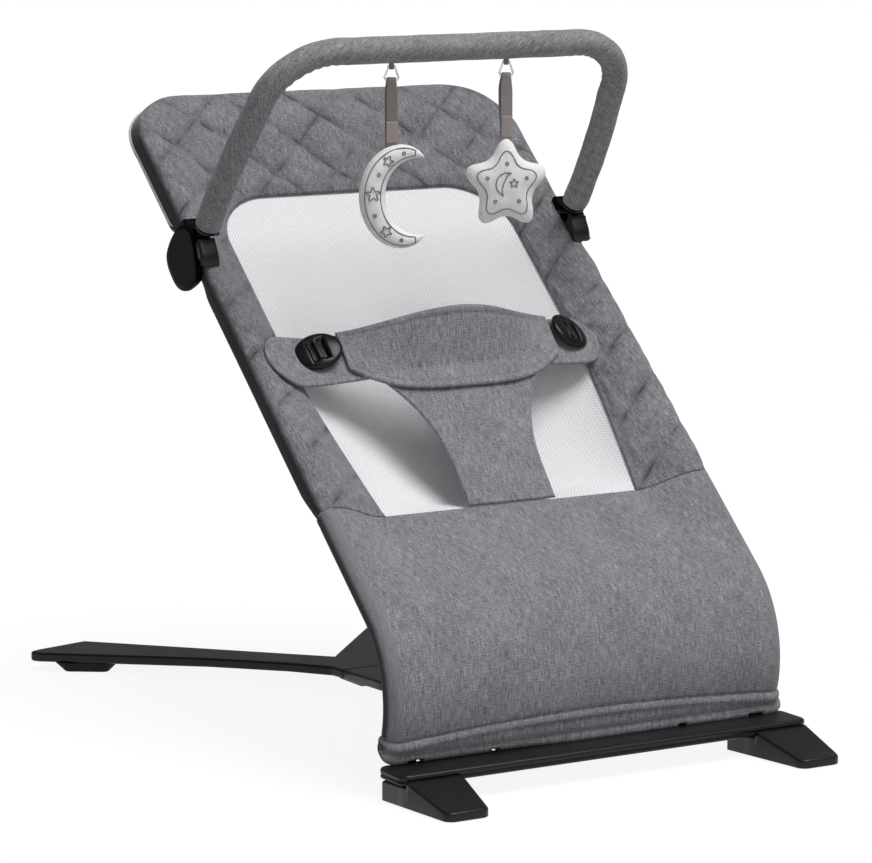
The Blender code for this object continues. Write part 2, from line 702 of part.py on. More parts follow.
def make_belt():
    def place(x, k):
        past = max(abs(x) - BELT_HALF + BELT_END_RADIUS, 0.0) / BELT_END_RADIUS
        end = math.sqrt(1 - past ** 2)
        top, low = belt_top_s(x), BELT_LOW_S
        middle = (top + low) / 2
        s = middle + (k - 0.5) * (top - low) * end
        return x, s, harness_n(x, max(s, BELT_LOW_S))

    belt = sheet("belt", belt_columns(BELT_HALF), spread(0, 1, 5), place, CLOTH)
    for side, word in SIDES:
        xs = sorted((side * (BUCKLE_X + 0.0005), side * (BUCKLE_X + 0.0060)))
        low = (xs[0], BUCKLE_S - 0.0125, DECK_N - 0.002)
        high = (xs[1], BUCKLE_S + 0.0125, DECK_N + 0.030)
        boolean(belt, box("belt_slot_" + word, low, high), "DIFFERENCE")
    keep(belt, SEAT, FABRIC)


def strap_half(s):
    """Half width of the crotch strap: even low down, flaring into the belt."""
    t = max(s - WINDOW_BOTTOM - 0.033, 0.0) / (BELT_LOW_S - WINDOW_BOTTOM - 0.033)
    return mix(STRAP_HALF, STRAP_TOP_HALF, t ** 2.2)


def make_crotch_strap():
    low = WINDOW_BOTTOM + 3 * GAP
    high = BELT_LOW_S - 4 * GAP

    def place(k, s):
        x = k * strap_half(s)
        return x, s, harness_n(x, s)

    keep(sheet("crotch_strap", spread(-1, 1, 9), spread(low, high, 10), place, CLOTH), SEAT, FABRIC)


def make_belt_flap():
    """A second layer over the middle of the belt and the top of the strap."""
    def place(x, k):
        low = mix(FLAP_LOW_S, BELT_LOW_S + 0.010, (abs(x) / FLAP_HALF) ** 3)
        middle = max(BELT_LOW_S, low + 0.004)
        s = mix(low, middle, k) if k <= 1 else mix(middle, belt_top_s(x), k - 1)
        return x, s, harness_n(x, s) + CLOTH + 4 * GAP

    rows = [0, 0.5, 1, 1.33, 1.67, 2]
    keep(sheet("belt_flap", belt_columns(FLAP_HALF), rows, place, CLOTH), SEAT, FABRIC)


def make_buckles():
    """Oval toggles over the belt: a disc with two slots round a bar, on webbing through the belt."""
    half = (BUCKLE_SIZE[0] / 2, BUCKLE_SIZE[1] / 2)
    turns = [math.tau * i / 28 for i in range(28)]
    oval = [(half[0] * math.cos(t), half[1] * math.sin(t)) for t in turns]
    middle_n = harness_n(BUCKLE_X, BUCKLE_S) + BUCKLE_LIFT
    across = (BUCKLE_S - WEBBING_WIDTH / 2, BUCKLE_S + WEBBING_WIDTH / 2)
    drop = CLOTH / 2 + 2 * GAP + WEBBING_THICK / 2
    for side, word in SIDES:
        hinge = frame_empty("buckle_place_" + word, SEAT, (side * BUCKLE_X, BUCKLE_S, middle_n))
        hinge.rotation_euler = (0.0, side * BUCKLE_LEAN, 0.0)
        disc = prism("buckle_" + word, oval, -BUCKLE_THICK / 2, BUCKLE_THICK / 2)
        for i, x in enumerate((-0.0048, 0.0048)):
            low, high = (x - 0.0026, -0.0105, -0.01), (x + 0.0026, 0.0105, 0.01)
            boolean(disc, box("buckle_slot_%s_%d" % (word, i), low, high), "DIFFERENCE")
        keep(bevel(disc, 0.0018, 2), hinge, GLOSS)
        under = [BELT_HALF - inset for inset in (0.0440, 0.0300, 0.0190, 0.0100)]
        xs = [side * x for x in [BUCKLE_X + 0.0030] + under]
        strip = sheet(
            "buckle_webbing_" + word,
            xs,
            across,
            lambda x, s: (x, s, harness_n(x, s) - drop),
            WEBBING_THICK,
        )
        xs = sorted((xs[0], xs[0] + side * WEBBING_THICK))
        low_n = harness_n(xs[0], BUCKLE_S) - drop
        rise = middle_n - BUCKLE_THICK / 2 - 0.0016
        riser = box("webbing_riser_" + word, (xs[0], across[0], low_n), (xs[1], across[1], rise))
        boolean(strip, riser, "UNION")
        keep(strip, SEAT, WEBBING)


# Toy bar

def make_clips():
    """A rounded cheek outside the tube and a saddle over it, with ears for the pivot pin."""
    pivot_s = ARCH_BASE_S - PIVOT_BELOW * math.sin(ARCH_LEAN)
    pivot_n = DECK_N + ARCH_BASE_N - PIVOT_BELOW * math.cos(ARCH_LEAN)
    cover_top = DECK_N + FRONT_N + GAP
    for side, word in SIDES:
        outline = []
        for turn in spread(0, math.tau, 25)[:-1]:
            across, up = math.cos(turn), math.sin(turn)
            reach = (abs(across) ** 2.8 + abs(up) ** 2.8) ** (-1 / 2.8)
            if across < 0 and up < 0:
                reach *= 0.92
            s, n = CLIP_CENTER[0] + CLIP_HALF[0] * reach * across, CLIP_CENTER[1] + CLIP_HALF[1] * reach * up
            outline.append((s, DECK_N + n))
        low, high = sorted((side * CLIP_INSIDE, side * (CLIP_INSIDE + CLIP_PLATE)))
        clip = prism("toy_bar_clip_" + word, outline, low, high, "X")
        bevel(clip, 0.0020, 2)
        low, high = sorted((side * CLIP_POST_FROM, side * (CLIP_INSIDE + 0.002)))
        post = box(
            "clip_post_" + word,
            (low, pivot_s - EAR_RADIUS, DECK_N + 0.0035),
            (high, pivot_s + EAR_RADIUS, pivot_n),
        )
        hook = box(
            "clip_hook_" + word,
            (low, CLIP_HOOK_S, DECK_N + 0.0035),
            (high, pivot_s, DECK_N + 0.0176),
        )
        ears = rod("clip_ears_" + word, EAR_RADIUS, (low, pivot_s, pivot_n), (high, pivot_s, pivot_n), 24)
        saddle = rod(
            "clip_saddle_" + word,
            FRONT_N + GAP,
            (side * TUBE_HALF_SPAN, pivot_s - 0.07, DECK_N),
            (side * TUBE_HALF_SPAN, pivot_s + 0.07, DECK_N),
            32,
        )
        skirt = box(
            "clip_skirt_" + word,
            (min(0.0, side * TUBE_HALF_SPAN), CLIP_HOOK_S - 0.02, DECK_N - 0.02),
            (max(0.0, side * TUBE_HALF_SPAN), pivot_s + 0.02, cover_top),
        )
        slot = box(
            "clip_slot_" + word,
            (side * ARCH_HALF - 0.0030, pivot_s - 0.02, pivot_n - EAR_RADIUS + 0.0002),
            (side * ARCH_HALF + 0.0030, pivot_s + 0.02, pivot_n + 0.02),
        )
        hole = rod(
            "clip_hole_" + word,
            PIN_RADIUS + GAP,
            (side * (CLIP_POST_FROM - 0.002), pivot_s, pivot_n),
            (side * (CLIP_INSIDE + 0.0013), pivot_s, pivot_n),
            20,
        )
        for piece, operation in (
            (post, "UNION"),
            (hook, "UNION"),
            (ears, "UNION"),
            (saddle, "DIFFERENCE"),
            (skirt, "DIFFERENCE"),
            (slot, "DIFFERENCE"),
            (hole, "DIFFERENCE"),
        ):
            boolean(clip, piece, operation)
        keep(clip, SEAT, GLOSS)
        pin = rod(
            "pivot_pin_" + word,
            PIN_RADIUS,
            (side * (CLIP_POST_FROM + 0.0004), pivot_s, pivot_n),
            (side * (CLIP_INSIDE + 0.0009), pivot_s, pivot_n),
            16,
        )
        keep(pin, SEAT, STEEL)
    return pivot_s, pivot_n


def arch_points(count):
    """Middle line of the toy bar, in the arch's own plane: legs that lean in, then a flat top."""
    low = PIVOT_BELOW
    corner_x = ARCH_TOP_HALF - ARCH_CORNER
    corner_v = ARCH_RISE + PIVOT_BELOW - ARCH_CORNER
    half = []
    half.append((ARCH_HALF, low))
    for v in spread(low + 0.0180, corner_v, 6)[:-1]:
        t = (v - low - 0.0180) / (corner_v - low - 0.0180)
        half.append((mix(ARCH_HALF, ARCH_TOP_HALF, t ** 1.8), v))
    half += arc((corner_x, corner_v), ARCH_CORNER, 0, 90, count)
    return [(-x, 0.0, v) for x, v in half] + [(x, 0.0, v) for x, v in reversed(half)]


def make_toy_bar():
    points = arch_points(9)
    core = tube("toy_bar_core", points, CORE_RADIUS, CORE_WALL, 2)
    keep(core, ARCH, STEEL)
    sleeve = tube("toy_bar_sleeve", points, SLEEVE_RADIUS, SLEEVE_RADIUS - CORE_RADIUS - GAP, 4)
    keep(sleeve, ARCH, FABRIC)
    for side, word in SIDES:
        x = side * ARCH_HALF
        tongue = rod("bar_end_" + word, EAR_RADIUS - 0.0008, (x - 0.0025, 0, 0), (x + 0.0025, 0, 0), 24)
        neck = box("bar_neck_" + word, (x - 0.0025, -0.0055, 0.0), (x + 0.0025, 0.0050, 0.0078))
        disc_low, disc_high = EAR_RADIUS + 0.0005, PIVOT_BELOW - GAP
        shoulder = rod("bar_shoulder_" + word, 0.0108, (x, 0, disc_low), (x, 0, disc_high), 24)
        stem_radius = CORE_RADIUS - CORE_WALL - 0.0007
        stem = rod("bar_stem_" + word, stem_radius, (x, 0, disc_high - 0.001), (x, 0, PIVOT_BELOW + 0.010), 12)
        bore = rod("bar_bore_" + word, PIN_RADIUS + GAP, (x - 0.01, 0, 0), (x + 0.01, 0, 0), 20)
        for piece, operation in (
            (neck, "UNION"),
            (shoulder, "UNION"),
            (stem, "UNION"),
            (bore, "DIFFERENCE"),
        ):
            boolean(tongue, piece, operation)
        keep(tongue, ARCH, PLASTIC)


# Toys

def toy_frames():
    """For each toy: an empty at its loop under the bar, turned to face forwards and outwards."""
    top = ARCH_RISE + PIVOT_BELOW
    frames = []
    for x in TOY_X:
        arch_world = ARCH_MATRIX @ Vector((x, 0.0, top))
        frames.append(arch_world - Vector((0, 0, SLEEVE_RADIUS + LOOP_RADIUS / 2 + GAP)))
    return frames


def make_loop(word, hook, parent):
    """A small sewn loop under the sleeve, round the ring's top."""
    outline = arc((0, 0), LOOP_RADIUS, 150, 390, 12) + arc((0, 0), LOOP_RADIUS - 0.0010, 390, 150, 12)
    loop = prism("bar_loop_" + word, outline, -0.0013, 0.0013, "X")
    loop.data.transform(Matrix.Translation(hook) @ Matrix.Rotation(TOY_YAW, 4, "Z"))
    keep(loop, parent, WEBBING)


def make_ring(word, hook, parent):
    """A clear three-sided wire ring, its point in the loop and its base under the strap."""
    base = -RING_HEIGHT
    points = [(-0.0026, 0.0), (0.0, 0.0), (0.0026, 0.0)]
    points += [(RING_HALF, base + 0.0020), (RING_HALF - 0.0012, base)]
    points += [(-RING_HALF + 0.0012, base), (-RING_HALF, base + 0.0020)]
    ring = wire_ring("ring_" + word, [(x, 0.0, z - 0.0004) for x, z in points], RING_WIRE)
    place = frame_empty("ring_hook_" + word, parent, hook, rotation_z=TOY_YAW)
    keep(ring, place, CLEAR)
    return place


def make_strap(word, place, tail):
    """A ribbon folded over the ring's base, drawn as one flat band with a bore for the wire."""
    top = -RING_HEIGHT
    outline = arc((0, top - 0.0004), 0.0019, 180, 0, 8) + [(0.0008, top - 0.0060), (0.0008, tail), (-0.0008, tail)]
    outline += [(-0.0008, top - 0.0060)]
    strap = prism("strap_" + word, outline, -STRAP_WIDTH / 2 + 0.0012, STRAP_WIDTH / 2 - 0.0012, "X")
    bore = rod("strap_bore_" + word, RING_WIRE + GAP, (-0.02, 0, top - 0.0004), (0.02, 0, top - 0.0004), 12)
    boolean(strap, bore, "DIFFERENCE")
    keep(strap, place, WEBBING)


def make_moon(place, top):
    """A plump crescent: round sections that swell along an arc and taper to its horns."""
    bm = bmesh.new()
    bmesh.ops.create_uvsphere(bm, u_segments=16, v_segments=18, radius=1.0)
    width, height = MOON_SIZE
    radius = height * 0.40
    for vert in bm.verts:
        lat = math.asin(max(-1.0, min(1.0, vert.co.z)))
        lon = math.atan2(vert.co.y, vert.co.x)
        turn = lat / (math.pi / 2) * math.radians(112)
        swell = math.cos(lat) ** 0.75
        reach = radius + width * 0.235 * swell * math.cos(lon) + 0.004 * swell
        vert.co = Vector((
            -reach * math.cos(turn) + radius * 0.55,
            TOY_THICK / 2 * swell * math.sin(lon),
            reach * math.sin(turn) * 1.05,
        ))
    moon = mesh_object("moon_toy", bm)
    high = max(v.co.z for v in moon.data.vertices)
    low = min(v.co.z for v in moon.data.vertices)
    left = min(v.co.x for v in moon.data.vertices)
    right = max(v.co.x for v in moon.data.vertices)
    scale = Matrix.Diagonal((width / (right - left), 1.0, height / (high - low), 1.0))
    moon.data.transform(scale @ Matrix.Translation((-(left + right) / 2, 0, -high)))
    moon.data.transform(Matrix.Translation((0, 0, top)))
    keep(moon, place, PLUSH)


def make_star(place, top):
    """A plump five-pointed star with round points."""
    bm = bmesh.new()
    bmesh.ops.create_uvsphere(bm, u_segments=40, v_segments=10, radius=1.0)
    width, height = STAR_SIZE
    for vert in bm.verts:
        lat = math.asin(max(-1.0, min(1.0, vert.co.z)))
        lon = math.atan2(vert.co.y, vert.co.x)
        lobe = 1.0 + 0.19 * math.cos(5 * (lon - math.pi / 2)) + 0.03 * math.cos(10 * (lon - math.pi / 2))
        flat = math.cos(lat) ** 0.7 * lobe
        vert.co = Vector((
            flat * math.cos(lon),
            TOY_THICK / 2 * math.sin(lat),
            flat * math.sin(lon),
        ))
    star = mesh_object("star_toy", bm)
    xs = [v.co.x for v in star.data.vertices]
    zs = [v.co.z for v in star.data.vertices]
    scale = Matrix.Diagonal((width / (max(xs) - min(xs)), 1.0, height / (max(zs) - min(zs)), 1.0))
    star.data.transform(scale @ Matrix.Translation((0, 0, -max(zs))))
    star.data.transform(Matrix.Translation((0, 0, top)))
    keep(star, place, PLUSH)


clear_scene()
PARTS = new_collection("Baby bouncer")
CUTTERS = new_collection("Cutters")

PLASTIC = material("satin charcoal nylon", (0.022, 0.021, 0.025), 0.45)
GLOSS = material("gloss black acetal", (0.008, 0.008, 0.010), 0.22)
STEEL = material("black powder-coated steel", (0.020, 0.020, 0.021), 0.35, 0.3)
SCREW = material("zinc-plated screw", (0.40, 0.40, 0.42), 0.35, 1.0)
RUBBER = material("black rubber", (0.012, 0.012, 0.012), 0.80)
FABRIC = material("heather grey woven polyester", (0.16, 0.16, 0.17), 0.90)
MESH = material("off-white spacer mesh", (0.70, 0.70, 0.72), 0.85)
WEBBING = material("grey nylon webbing", (0.10, 0.09, 0.09), 0.70)
PLUSH = material("off-white plush", (0.78, 0.77, 0.75), 0.95)
CLEAR = material("clear ring", (0.80, 0.82, 0.84), 0.10)

ROOT = frame_empty("bouncer", None, (0, -ORIGIN_Y, 0))
SEAT = frame_empty("seat_hinge", ROOT, (0, HINGE_Y, HINGE_Z), rotation_x=DECK_ANGLE)

make_front_bar()
make_front_feet()
make_spine()
make_wishbone()
make_junction()
make_rear_feet()
make_brackets()
make_bracket_screws()
make_frame_tubes()
make_quilted_border()
make_lower_panel()
make_mesh_panel()
make_belt()
make_crotch_strap()
make_belt_flap()
make_buckles()
PIVOT_S, PIVOT_N = make_clips()

# The arch's plane leans a little up the slope from the deck's normal
ARCH = frame_empty("toy_bar_pivot", SEAT, (0, PIVOT_S, PIVOT_N), rotation_x=-ARCH_LEAN)
make_toy_bar()
SEAT_TURN = Matrix.Rotation(DECK_ANGLE, 4, "X")
ARCH_MATRIX = (
    Matrix.Translation((0, HINGE_Y, HINGE_Z))
    @ SEAT_TURN
    @ Matrix.Translation((0, PIVOT_S, PIVOT_N))
    @ Matrix.Rotation(-ARCH_LEAN, 4, "X")
)
HOOKS = toy_frames()
for (_, toy_word), toy_hook, make_toy in zip(SIDES, HOOKS, (make_moon, make_star)):
    make_loop(toy_word, toy_hook, ROOT)
    toy_place = make_ring(toy_word, toy_hook, ROOT)
    strap_end = -RING_HEIGHT - STRAP_LENGTH
    make_strap(toy_word, toy_place, strap_end)
    make_toy(toy_place, strap_end - GAP)

print("hinge axis", round(HINGE_Y - ORIGIN_Y, 5), HINGE_Z)
print("toy bar pivot", [round(v, 5) for v in (ARCH_MATRIX.translation - Vector((0, ORIGIN_Y, 0)))])
print("toy hooks", [[round(v, 5) for v in hook - Vector((0, ORIGIN_Y, 0))] for hook in HOOKS])
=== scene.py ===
# %% [markdown]
# # Dressing a baby bouncer
#
# A baby bouncer is a low seat for an infant: a sling of padded cloth on a bent tube frame, over a flat
# forked base, with a padded bar of toys across it. The frame, the base and every joint come ready made
# from the CAD model. This script adds what a camera sees: cloth that is quilted, stretched, hemmed and
# stitched, an airy mesh in the middle, soft toys, plastics and paint, and a quiet studio round it.

# %% Load the CAD model
import json
import math

import bmesh
import bpy
import numpy as np
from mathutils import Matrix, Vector


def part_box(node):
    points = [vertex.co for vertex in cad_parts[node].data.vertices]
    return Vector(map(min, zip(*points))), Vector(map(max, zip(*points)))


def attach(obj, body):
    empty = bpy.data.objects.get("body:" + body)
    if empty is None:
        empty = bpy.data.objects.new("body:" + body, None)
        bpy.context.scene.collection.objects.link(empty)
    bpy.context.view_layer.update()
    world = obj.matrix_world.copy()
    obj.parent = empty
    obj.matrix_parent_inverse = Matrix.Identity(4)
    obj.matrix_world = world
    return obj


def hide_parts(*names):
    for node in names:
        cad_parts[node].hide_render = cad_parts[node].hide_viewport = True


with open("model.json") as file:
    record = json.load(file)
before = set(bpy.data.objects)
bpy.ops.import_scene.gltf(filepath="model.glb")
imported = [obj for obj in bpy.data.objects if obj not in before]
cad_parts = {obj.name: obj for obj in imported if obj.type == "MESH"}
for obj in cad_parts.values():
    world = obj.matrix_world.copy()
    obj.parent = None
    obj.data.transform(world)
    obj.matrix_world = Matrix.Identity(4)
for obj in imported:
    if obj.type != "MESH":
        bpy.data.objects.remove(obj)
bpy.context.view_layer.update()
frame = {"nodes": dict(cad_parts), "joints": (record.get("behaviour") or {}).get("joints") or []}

nodes = frame["nodes"]
joints = {joint["name"]: joint for joint in frame["joints"]}
SIDES = ((-1, "left"), (1, "right"))
RIGHT_ANGLE = np.pi / 2

# %% [markdown]
# ## Small helpers for numbers
#
# Cloth has no corners: one stretch of it runs into the next. `ease` is the curve that does this, a half
# wave of a cosine that leaves 0 and reaches 1 without a kink. `mix` goes from one value to another.
# `ripples` adds a few sine waves that run in different directions, which is how cloth is never quite
# even. The directions come from a seed, so each run gives the same cloth.

# %% Easing, mixing and ripples

def ease(t):
    """(1 - cos(pi t)) / 2 between 0 and 1, and level outside."""
    return (1 - np.cos(np.pi * np.clip(t, 0, 1))) / 2


def mix(a, b, t):
    """a where t is 0 and b where it is 1."""
    return a + (b - a) * t


def ripples(a, b, wavelength, seed, waves=8):
    """Sum of sine waves in random directions over (a, b), each near one wavelength, from -1 to 1."""
    draw = np.random.default_rng(seed)
    total = 0
    for turn, stretch, phase in zip(*draw.uniform(0, 1, (3, waves))):
        pitch = wavelength * mix(0.6, 1.6, stretch)
        across = a * math.cos(math.pi * turn) + b * math.sin(math.pi * turn)
        total = total + np.sin(2 * np.pi * (across / pitch + phase))
    return total / waves


def bump_at(value, middle, width, power=2):
    """A smooth hill of height 1: exp(-((value - middle) / width)^power)."""
    return np.exp(-((value - middle) / width) ** power)


def crowded(count, share):
    """Steps from -1 to 1 that crowd towards both ends: a share of a sine, the rest even."""
    sine = np.sin(np.linspace(-RIGHT_ANGLE, RIGHT_ANGLE, count))
    return sine * share + np.linspace(-1, 1, count) * (1 - share)


# %% Paths

def unit(vectors):
    """The same directions with length 1."""
    return vectors / np.linalg.norm(vectors, axis=-1, keepdims=True)


def length_along(points):
    """Distance along a path from its start to each of its points."""
    return np.concatenate(((0,), np.cumsum(np.linalg.norm(np.diff(points, axis=0), axis=1))))


def resampled(points, count):
    """The same path at even steps of its length, and the length at each step."""
    length = length_along(points)
    even = np.linspace(0, length[-1], count)
    return np.stack([np.interp(even, length, column) for column in points.T], -1), even


def catmull_rom(a, b, c, d, t):
    """The cubic from b to c whose slopes at its ends are (c - a) / 2 and (d - b) / 2."""
    bend = (2 * a - 5 * b + 4 * c - d) * t ** 2 + (3 * b - a - 3 * c + d) * t ** 3
    return 0.5 * (2 * b + (c - a) * t + bend)


# %% [markdown]
# ## The seat's own directions
#
# The seat leans back, so its cloth is easier to draw in the seat's own directions: x across, s up the
# slope and n out of it. They start at the hinge behind the front bar. The recline joint knows where the
# hinge is, and how far the seat turns until it lies level, which is also the slope of the seat.

# %% Seat coordinates
HINGE = np.array(joints["recline"]["pos_m"], float)
SLOPE = math.radians(joints["recline"]["range_deg"][1])
UP_SLOPE = np.array((0.0, math.cos(SLOPE), math.sin(SLOPE)))
OUT_OF_SLOPE = np.array((0.0, -math.sin(SLOPE), math.cos(SLOPE)))
ACROSS = np.array((1.0, 0.0, 0.0))
print("hinge at", HINGE, "slope", round(math.degrees(SLOPE), 1))


def from_origin(origin, directions, values):
    """World points: the origin plus each value times its direction."""
    spread = (np.asarray(v, float)[..., None] for v in np.broadcast_arrays(*values))
    return origin + sum(value * direction for value, direction in zip(spread, directions))


def on_seat(x, s, n):
    """World points: the hinge plus x across, s up the slope and n out of it."""
    return from_origin(HINGE, (ACROSS, UP_SLOPE, OUT_OF_SLOPE), (x, s, n))


# %% [markdown]
# ## From arrays to meshes
#
# Each new surface is a grid of points worked out all at once. `quads` joins neighbours on a grid by
# their numbers, `normals_of` crosses the two directions of the grid to find which way the cloth faces,
# and `new_piece` puts the result into a mesh, with a UV map in metres so that a weave keeps its size.
# A thick cloth is two grids, one for each face, which meet along their rims; `two_sided` sews them.

# %% Mesh helpers

def numbered(grid):
    """The numbers of a grid's points, in the order in which they lie."""
    return np.arange(grid.shape[0] * grid.shape[1]).reshape(grid.shape[:2])


def quads(index):
    """Four corner numbers for each cell of a grid of point numbers."""
    corners = index[:-1, :-1], index[:-1, 1:], index[1:, 1:], index[1:, :-1]
    return np.stack(corners, -1).reshape(-1, 4)


def normals_of(points):
    """Unit normals of a grid: its direction along a row crossed with the one along a column."""
    normal = np.cross(np.gradient(points, axis=1), np.gradient(points, axis=0))
    return normal / np.maximum(np.linalg.norm(normal, axis=-1, keepdims=True), 1e-12)


def two_sided(front, back, kept=None):
    """Points and faces of a closed sheet from two grids that share their rims; kept picks its cells."""
    near = numbered(front)
    if kept is None:
        kept = np.ones((near.shape[0] - 1, near.shape[1] - 1), bool)
    ring = np.pad(kept, 1).astype(int)
    cells = ring[:-1, :-1] + ring[1:, :-1] + ring[:-1, 1:] + ring[1:, 1:]
    far = np.where(cells < 4, near, near + near.size)
    points = np.concatenate((front.reshape(-1, 3), back.reshape(-1, 3)))
    chosen = kept.ravel()
    return points, np.concatenate((quads(near)[chosen], quads(far)[chosen][:, ::-1]))


def in_scene(name, data):
    """A new object that shows the data, linked to the scene."""
    piece = bpy.data.objects.new(name, data)
    bpy.context.scene.collection.objects.link(piece)
    return piece


def tidy_mesh(mesh):
    """Merge points that coincide, as at a pole, drop faces without area and shade smooth."""
    shape = bmesh.new()
    shape.from_mesh(mesh)
    bmesh.ops.remove_doubles(shape, verts=shape.verts, dist=1e-6)
    bmesh.ops.dissolve_degenerate(shape, edges=shape.edges, dist=1e-6)
    shape.to_mesh(mesh)
    shape.free()
    mesh.shade_smooth()


def new_piece(name, points, faces, body, finish, uv=None, replaces=(), quilt=None):
    """A smooth mesh object that rides on a CAD body, with unused and doubled points taken out."""
    used, index = np.unique(faces, return_inverse=True)
    mesh = bpy.data.meshes.new(name)
    mesh.from_pydata(points[used].tolist(), [], index.reshape(faces.shape).tolist())
    corner = index.reshape(-1)
    for layer, values in (("UVMap", uv), ("QuiltMap", quilt)):
        if values is not None:
            flat = np.ascontiguousarray(values[used][corner], np.float32).ravel()
            mesh.uv_layers.new(name=layer).data.foreach_set("uv", flat)
    mesh.materials.append(finish)
    tidy_mesh(mesh)
    piece = in_scene(name, mesh)
    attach(piece, body)
    if replaces:
        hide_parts(*replaces)
    print(name, len(mesh.polygons), "faces")
    return piece


def both(values):
    """The same per-point values for the front grid and for the back grid."""
    flat = values.reshape(-1, values.shape[-1])
    return np.concatenate((flat, flat))


def pillow(edge_distance, rounding):
    """Share of the full thickness at a distance from the rim: a quarter of a circle, then level."""
    return np.sqrt(1 - (1 - np.clip(edge_distance / rounding, 0, 1)) ** 2)


# %% [markdown]
# ## Materials: colour and nodes
#
# Colours are written as they look on a screen, and `linear` turns them into the light values that a
# renderer adds up. Every finish is a node tree; `add` puts one node in it, with its settings, and joins
# or sets its sockets. A socket takes either a number, a colour, or another node's output. `dress` ends
# each finish: it gives the shader its colour and its bump.

# %% Node helpers

def linear(code):
    """An sRGB hex colour as linear red, green, blue and alpha."""
    srgb = [int(code[i:i + 2], 16) / 255 for i in (1, 3, 5)]
    return (*[c / 12.92 if c <= 0.04045 else ((c + 0.055) / 1.055) ** 2.4 for c in srgb], 1.0)


def add(tree, kind, sockets=None, **settings):
    """A node of that kind: settings are its properties, sockets its inputs by name or number."""
    node = tree.nodes.new("ShaderNode" + kind)
    for key, value in settings.items():
        setattr(node, key, value)
    for key, value in (sockets or {}).items():
        if isinstance(value, bpy.types.NodeSocket):
            tree.links.new(value, node.inputs[key])
        else:
            node.inputs[key].default_value = value
    return node


def new_finish(name, **sockets):
    """A material with one Principled shader, and its tree, to which patterns are added."""
    finish = bpy.data.materials.new(name)
    finish.use_nodes = True
    shader = finish.node_tree.nodes["Principled BSDF"]
    for key, value in sockets.items():
        shader.inputs[key.replace("_", " ")].default_value = value
    return finish, finish.node_tree, shader


def dress(tree, shader, colour, height, strength, distance):
    """Give the shader a colour, a hex code or an output, and a bump from a height, in metres."""
    if isinstance(colour, str):
        shader.inputs["Base Color"].default_value = linear(colour)
    else:
        tree.links.new(colour, shader.inputs["Base Color"])
    bump = add(tree, "Bump", {"Height": height, "Strength": strength, "Distance": distance})
    tree.links.new(bump.outputs[0], shader.inputs["Normal"])


def math_node(tree, operation, *values, clamp=False):
    """The output of one Math node, whose sockets take the values in order."""
    return add(tree, "Math", dict(enumerate(values)), operation=operation, use_clamp=clamp).outputs[0]


def map_range(tree, value, low, high, from_value=0.0, to_value=1.0):
    """The output of a Map Range node: low to high becomes from_value to to_value, and level outside."""
    return add(tree, "MapRange", {0: value, 1: low, 2: high, 3: from_value, 4: to_value}).outputs[0]


def split(tree, vector):
    """The three outputs of a vector."""
    return add(tree, "SeparateXYZ", {0: vector}).outputs


def own(tree, which):
    """The output of that name of a Texture Coordinate node."""
    return add(tree, "TexCoord").outputs[which]


def blend(tree, amount, a, b):
    """A colour that goes from a to b."""
    return add(tree, "Mix", {0: amount, 6: a, 7: b}, data_type="RGBA").outputs[2]


def ramp(tree, value, *stops):
    """The output of a Color Ramp: each stop is a position and a hex colour."""
    node = add(tree, "ValToRGB", {0: value})
    elements = node.color_ramp.elements
    elements[0].position, elements[0].color = stops[0][0], linear(stops[0][1])
    elements[1].position, elements[1].color = stops[-1][0], linear(stops[-1][1])
    for position, code in stops[1:-1]:
        elements.new(position).color = linear(code)
    return node.outputs[0]


def noise(tree, coordinates, size, detail=3.0, roughness=0.6):
    """Noise whose blobs have the given sizes, in metres along u, v and w."""
    scaled = add(tree, "Mapping", {"Vector": coordinates, "Scale": [1 / s for s in size]}).outputs[0]
    sockets = {"Vector": scaled, "Scale": 1.0, "Detail": detail, "Roughness": roughness}
    return add(tree, "TexNoise", sockets).outputs[0]


# %% [markdown]
# ## Heather grey cloth
#
# The cover is a polyester plain weave spun from light and dark fibres together, which is what heather
# means. The eye sees short light and dark slubs along both threads, longer up the seat, over an even
# mid grey, and almost no gloss. Real threads are 0.3 mm apart, finer than a pixel here, so the slubs are
# drawn about 1 mm wide and 10 mm long. The same pattern lifts the bump, and a little sheen stands for
# the fuzz. One function makes the seat cloth and, with other stops, the cloth of the toy bar. The side
# walls of the cover get painted shade: a face that looks outward turns into a darker colour.

# %% Heather cloth
THREAD = 0.0008
SLUB = 0.0105


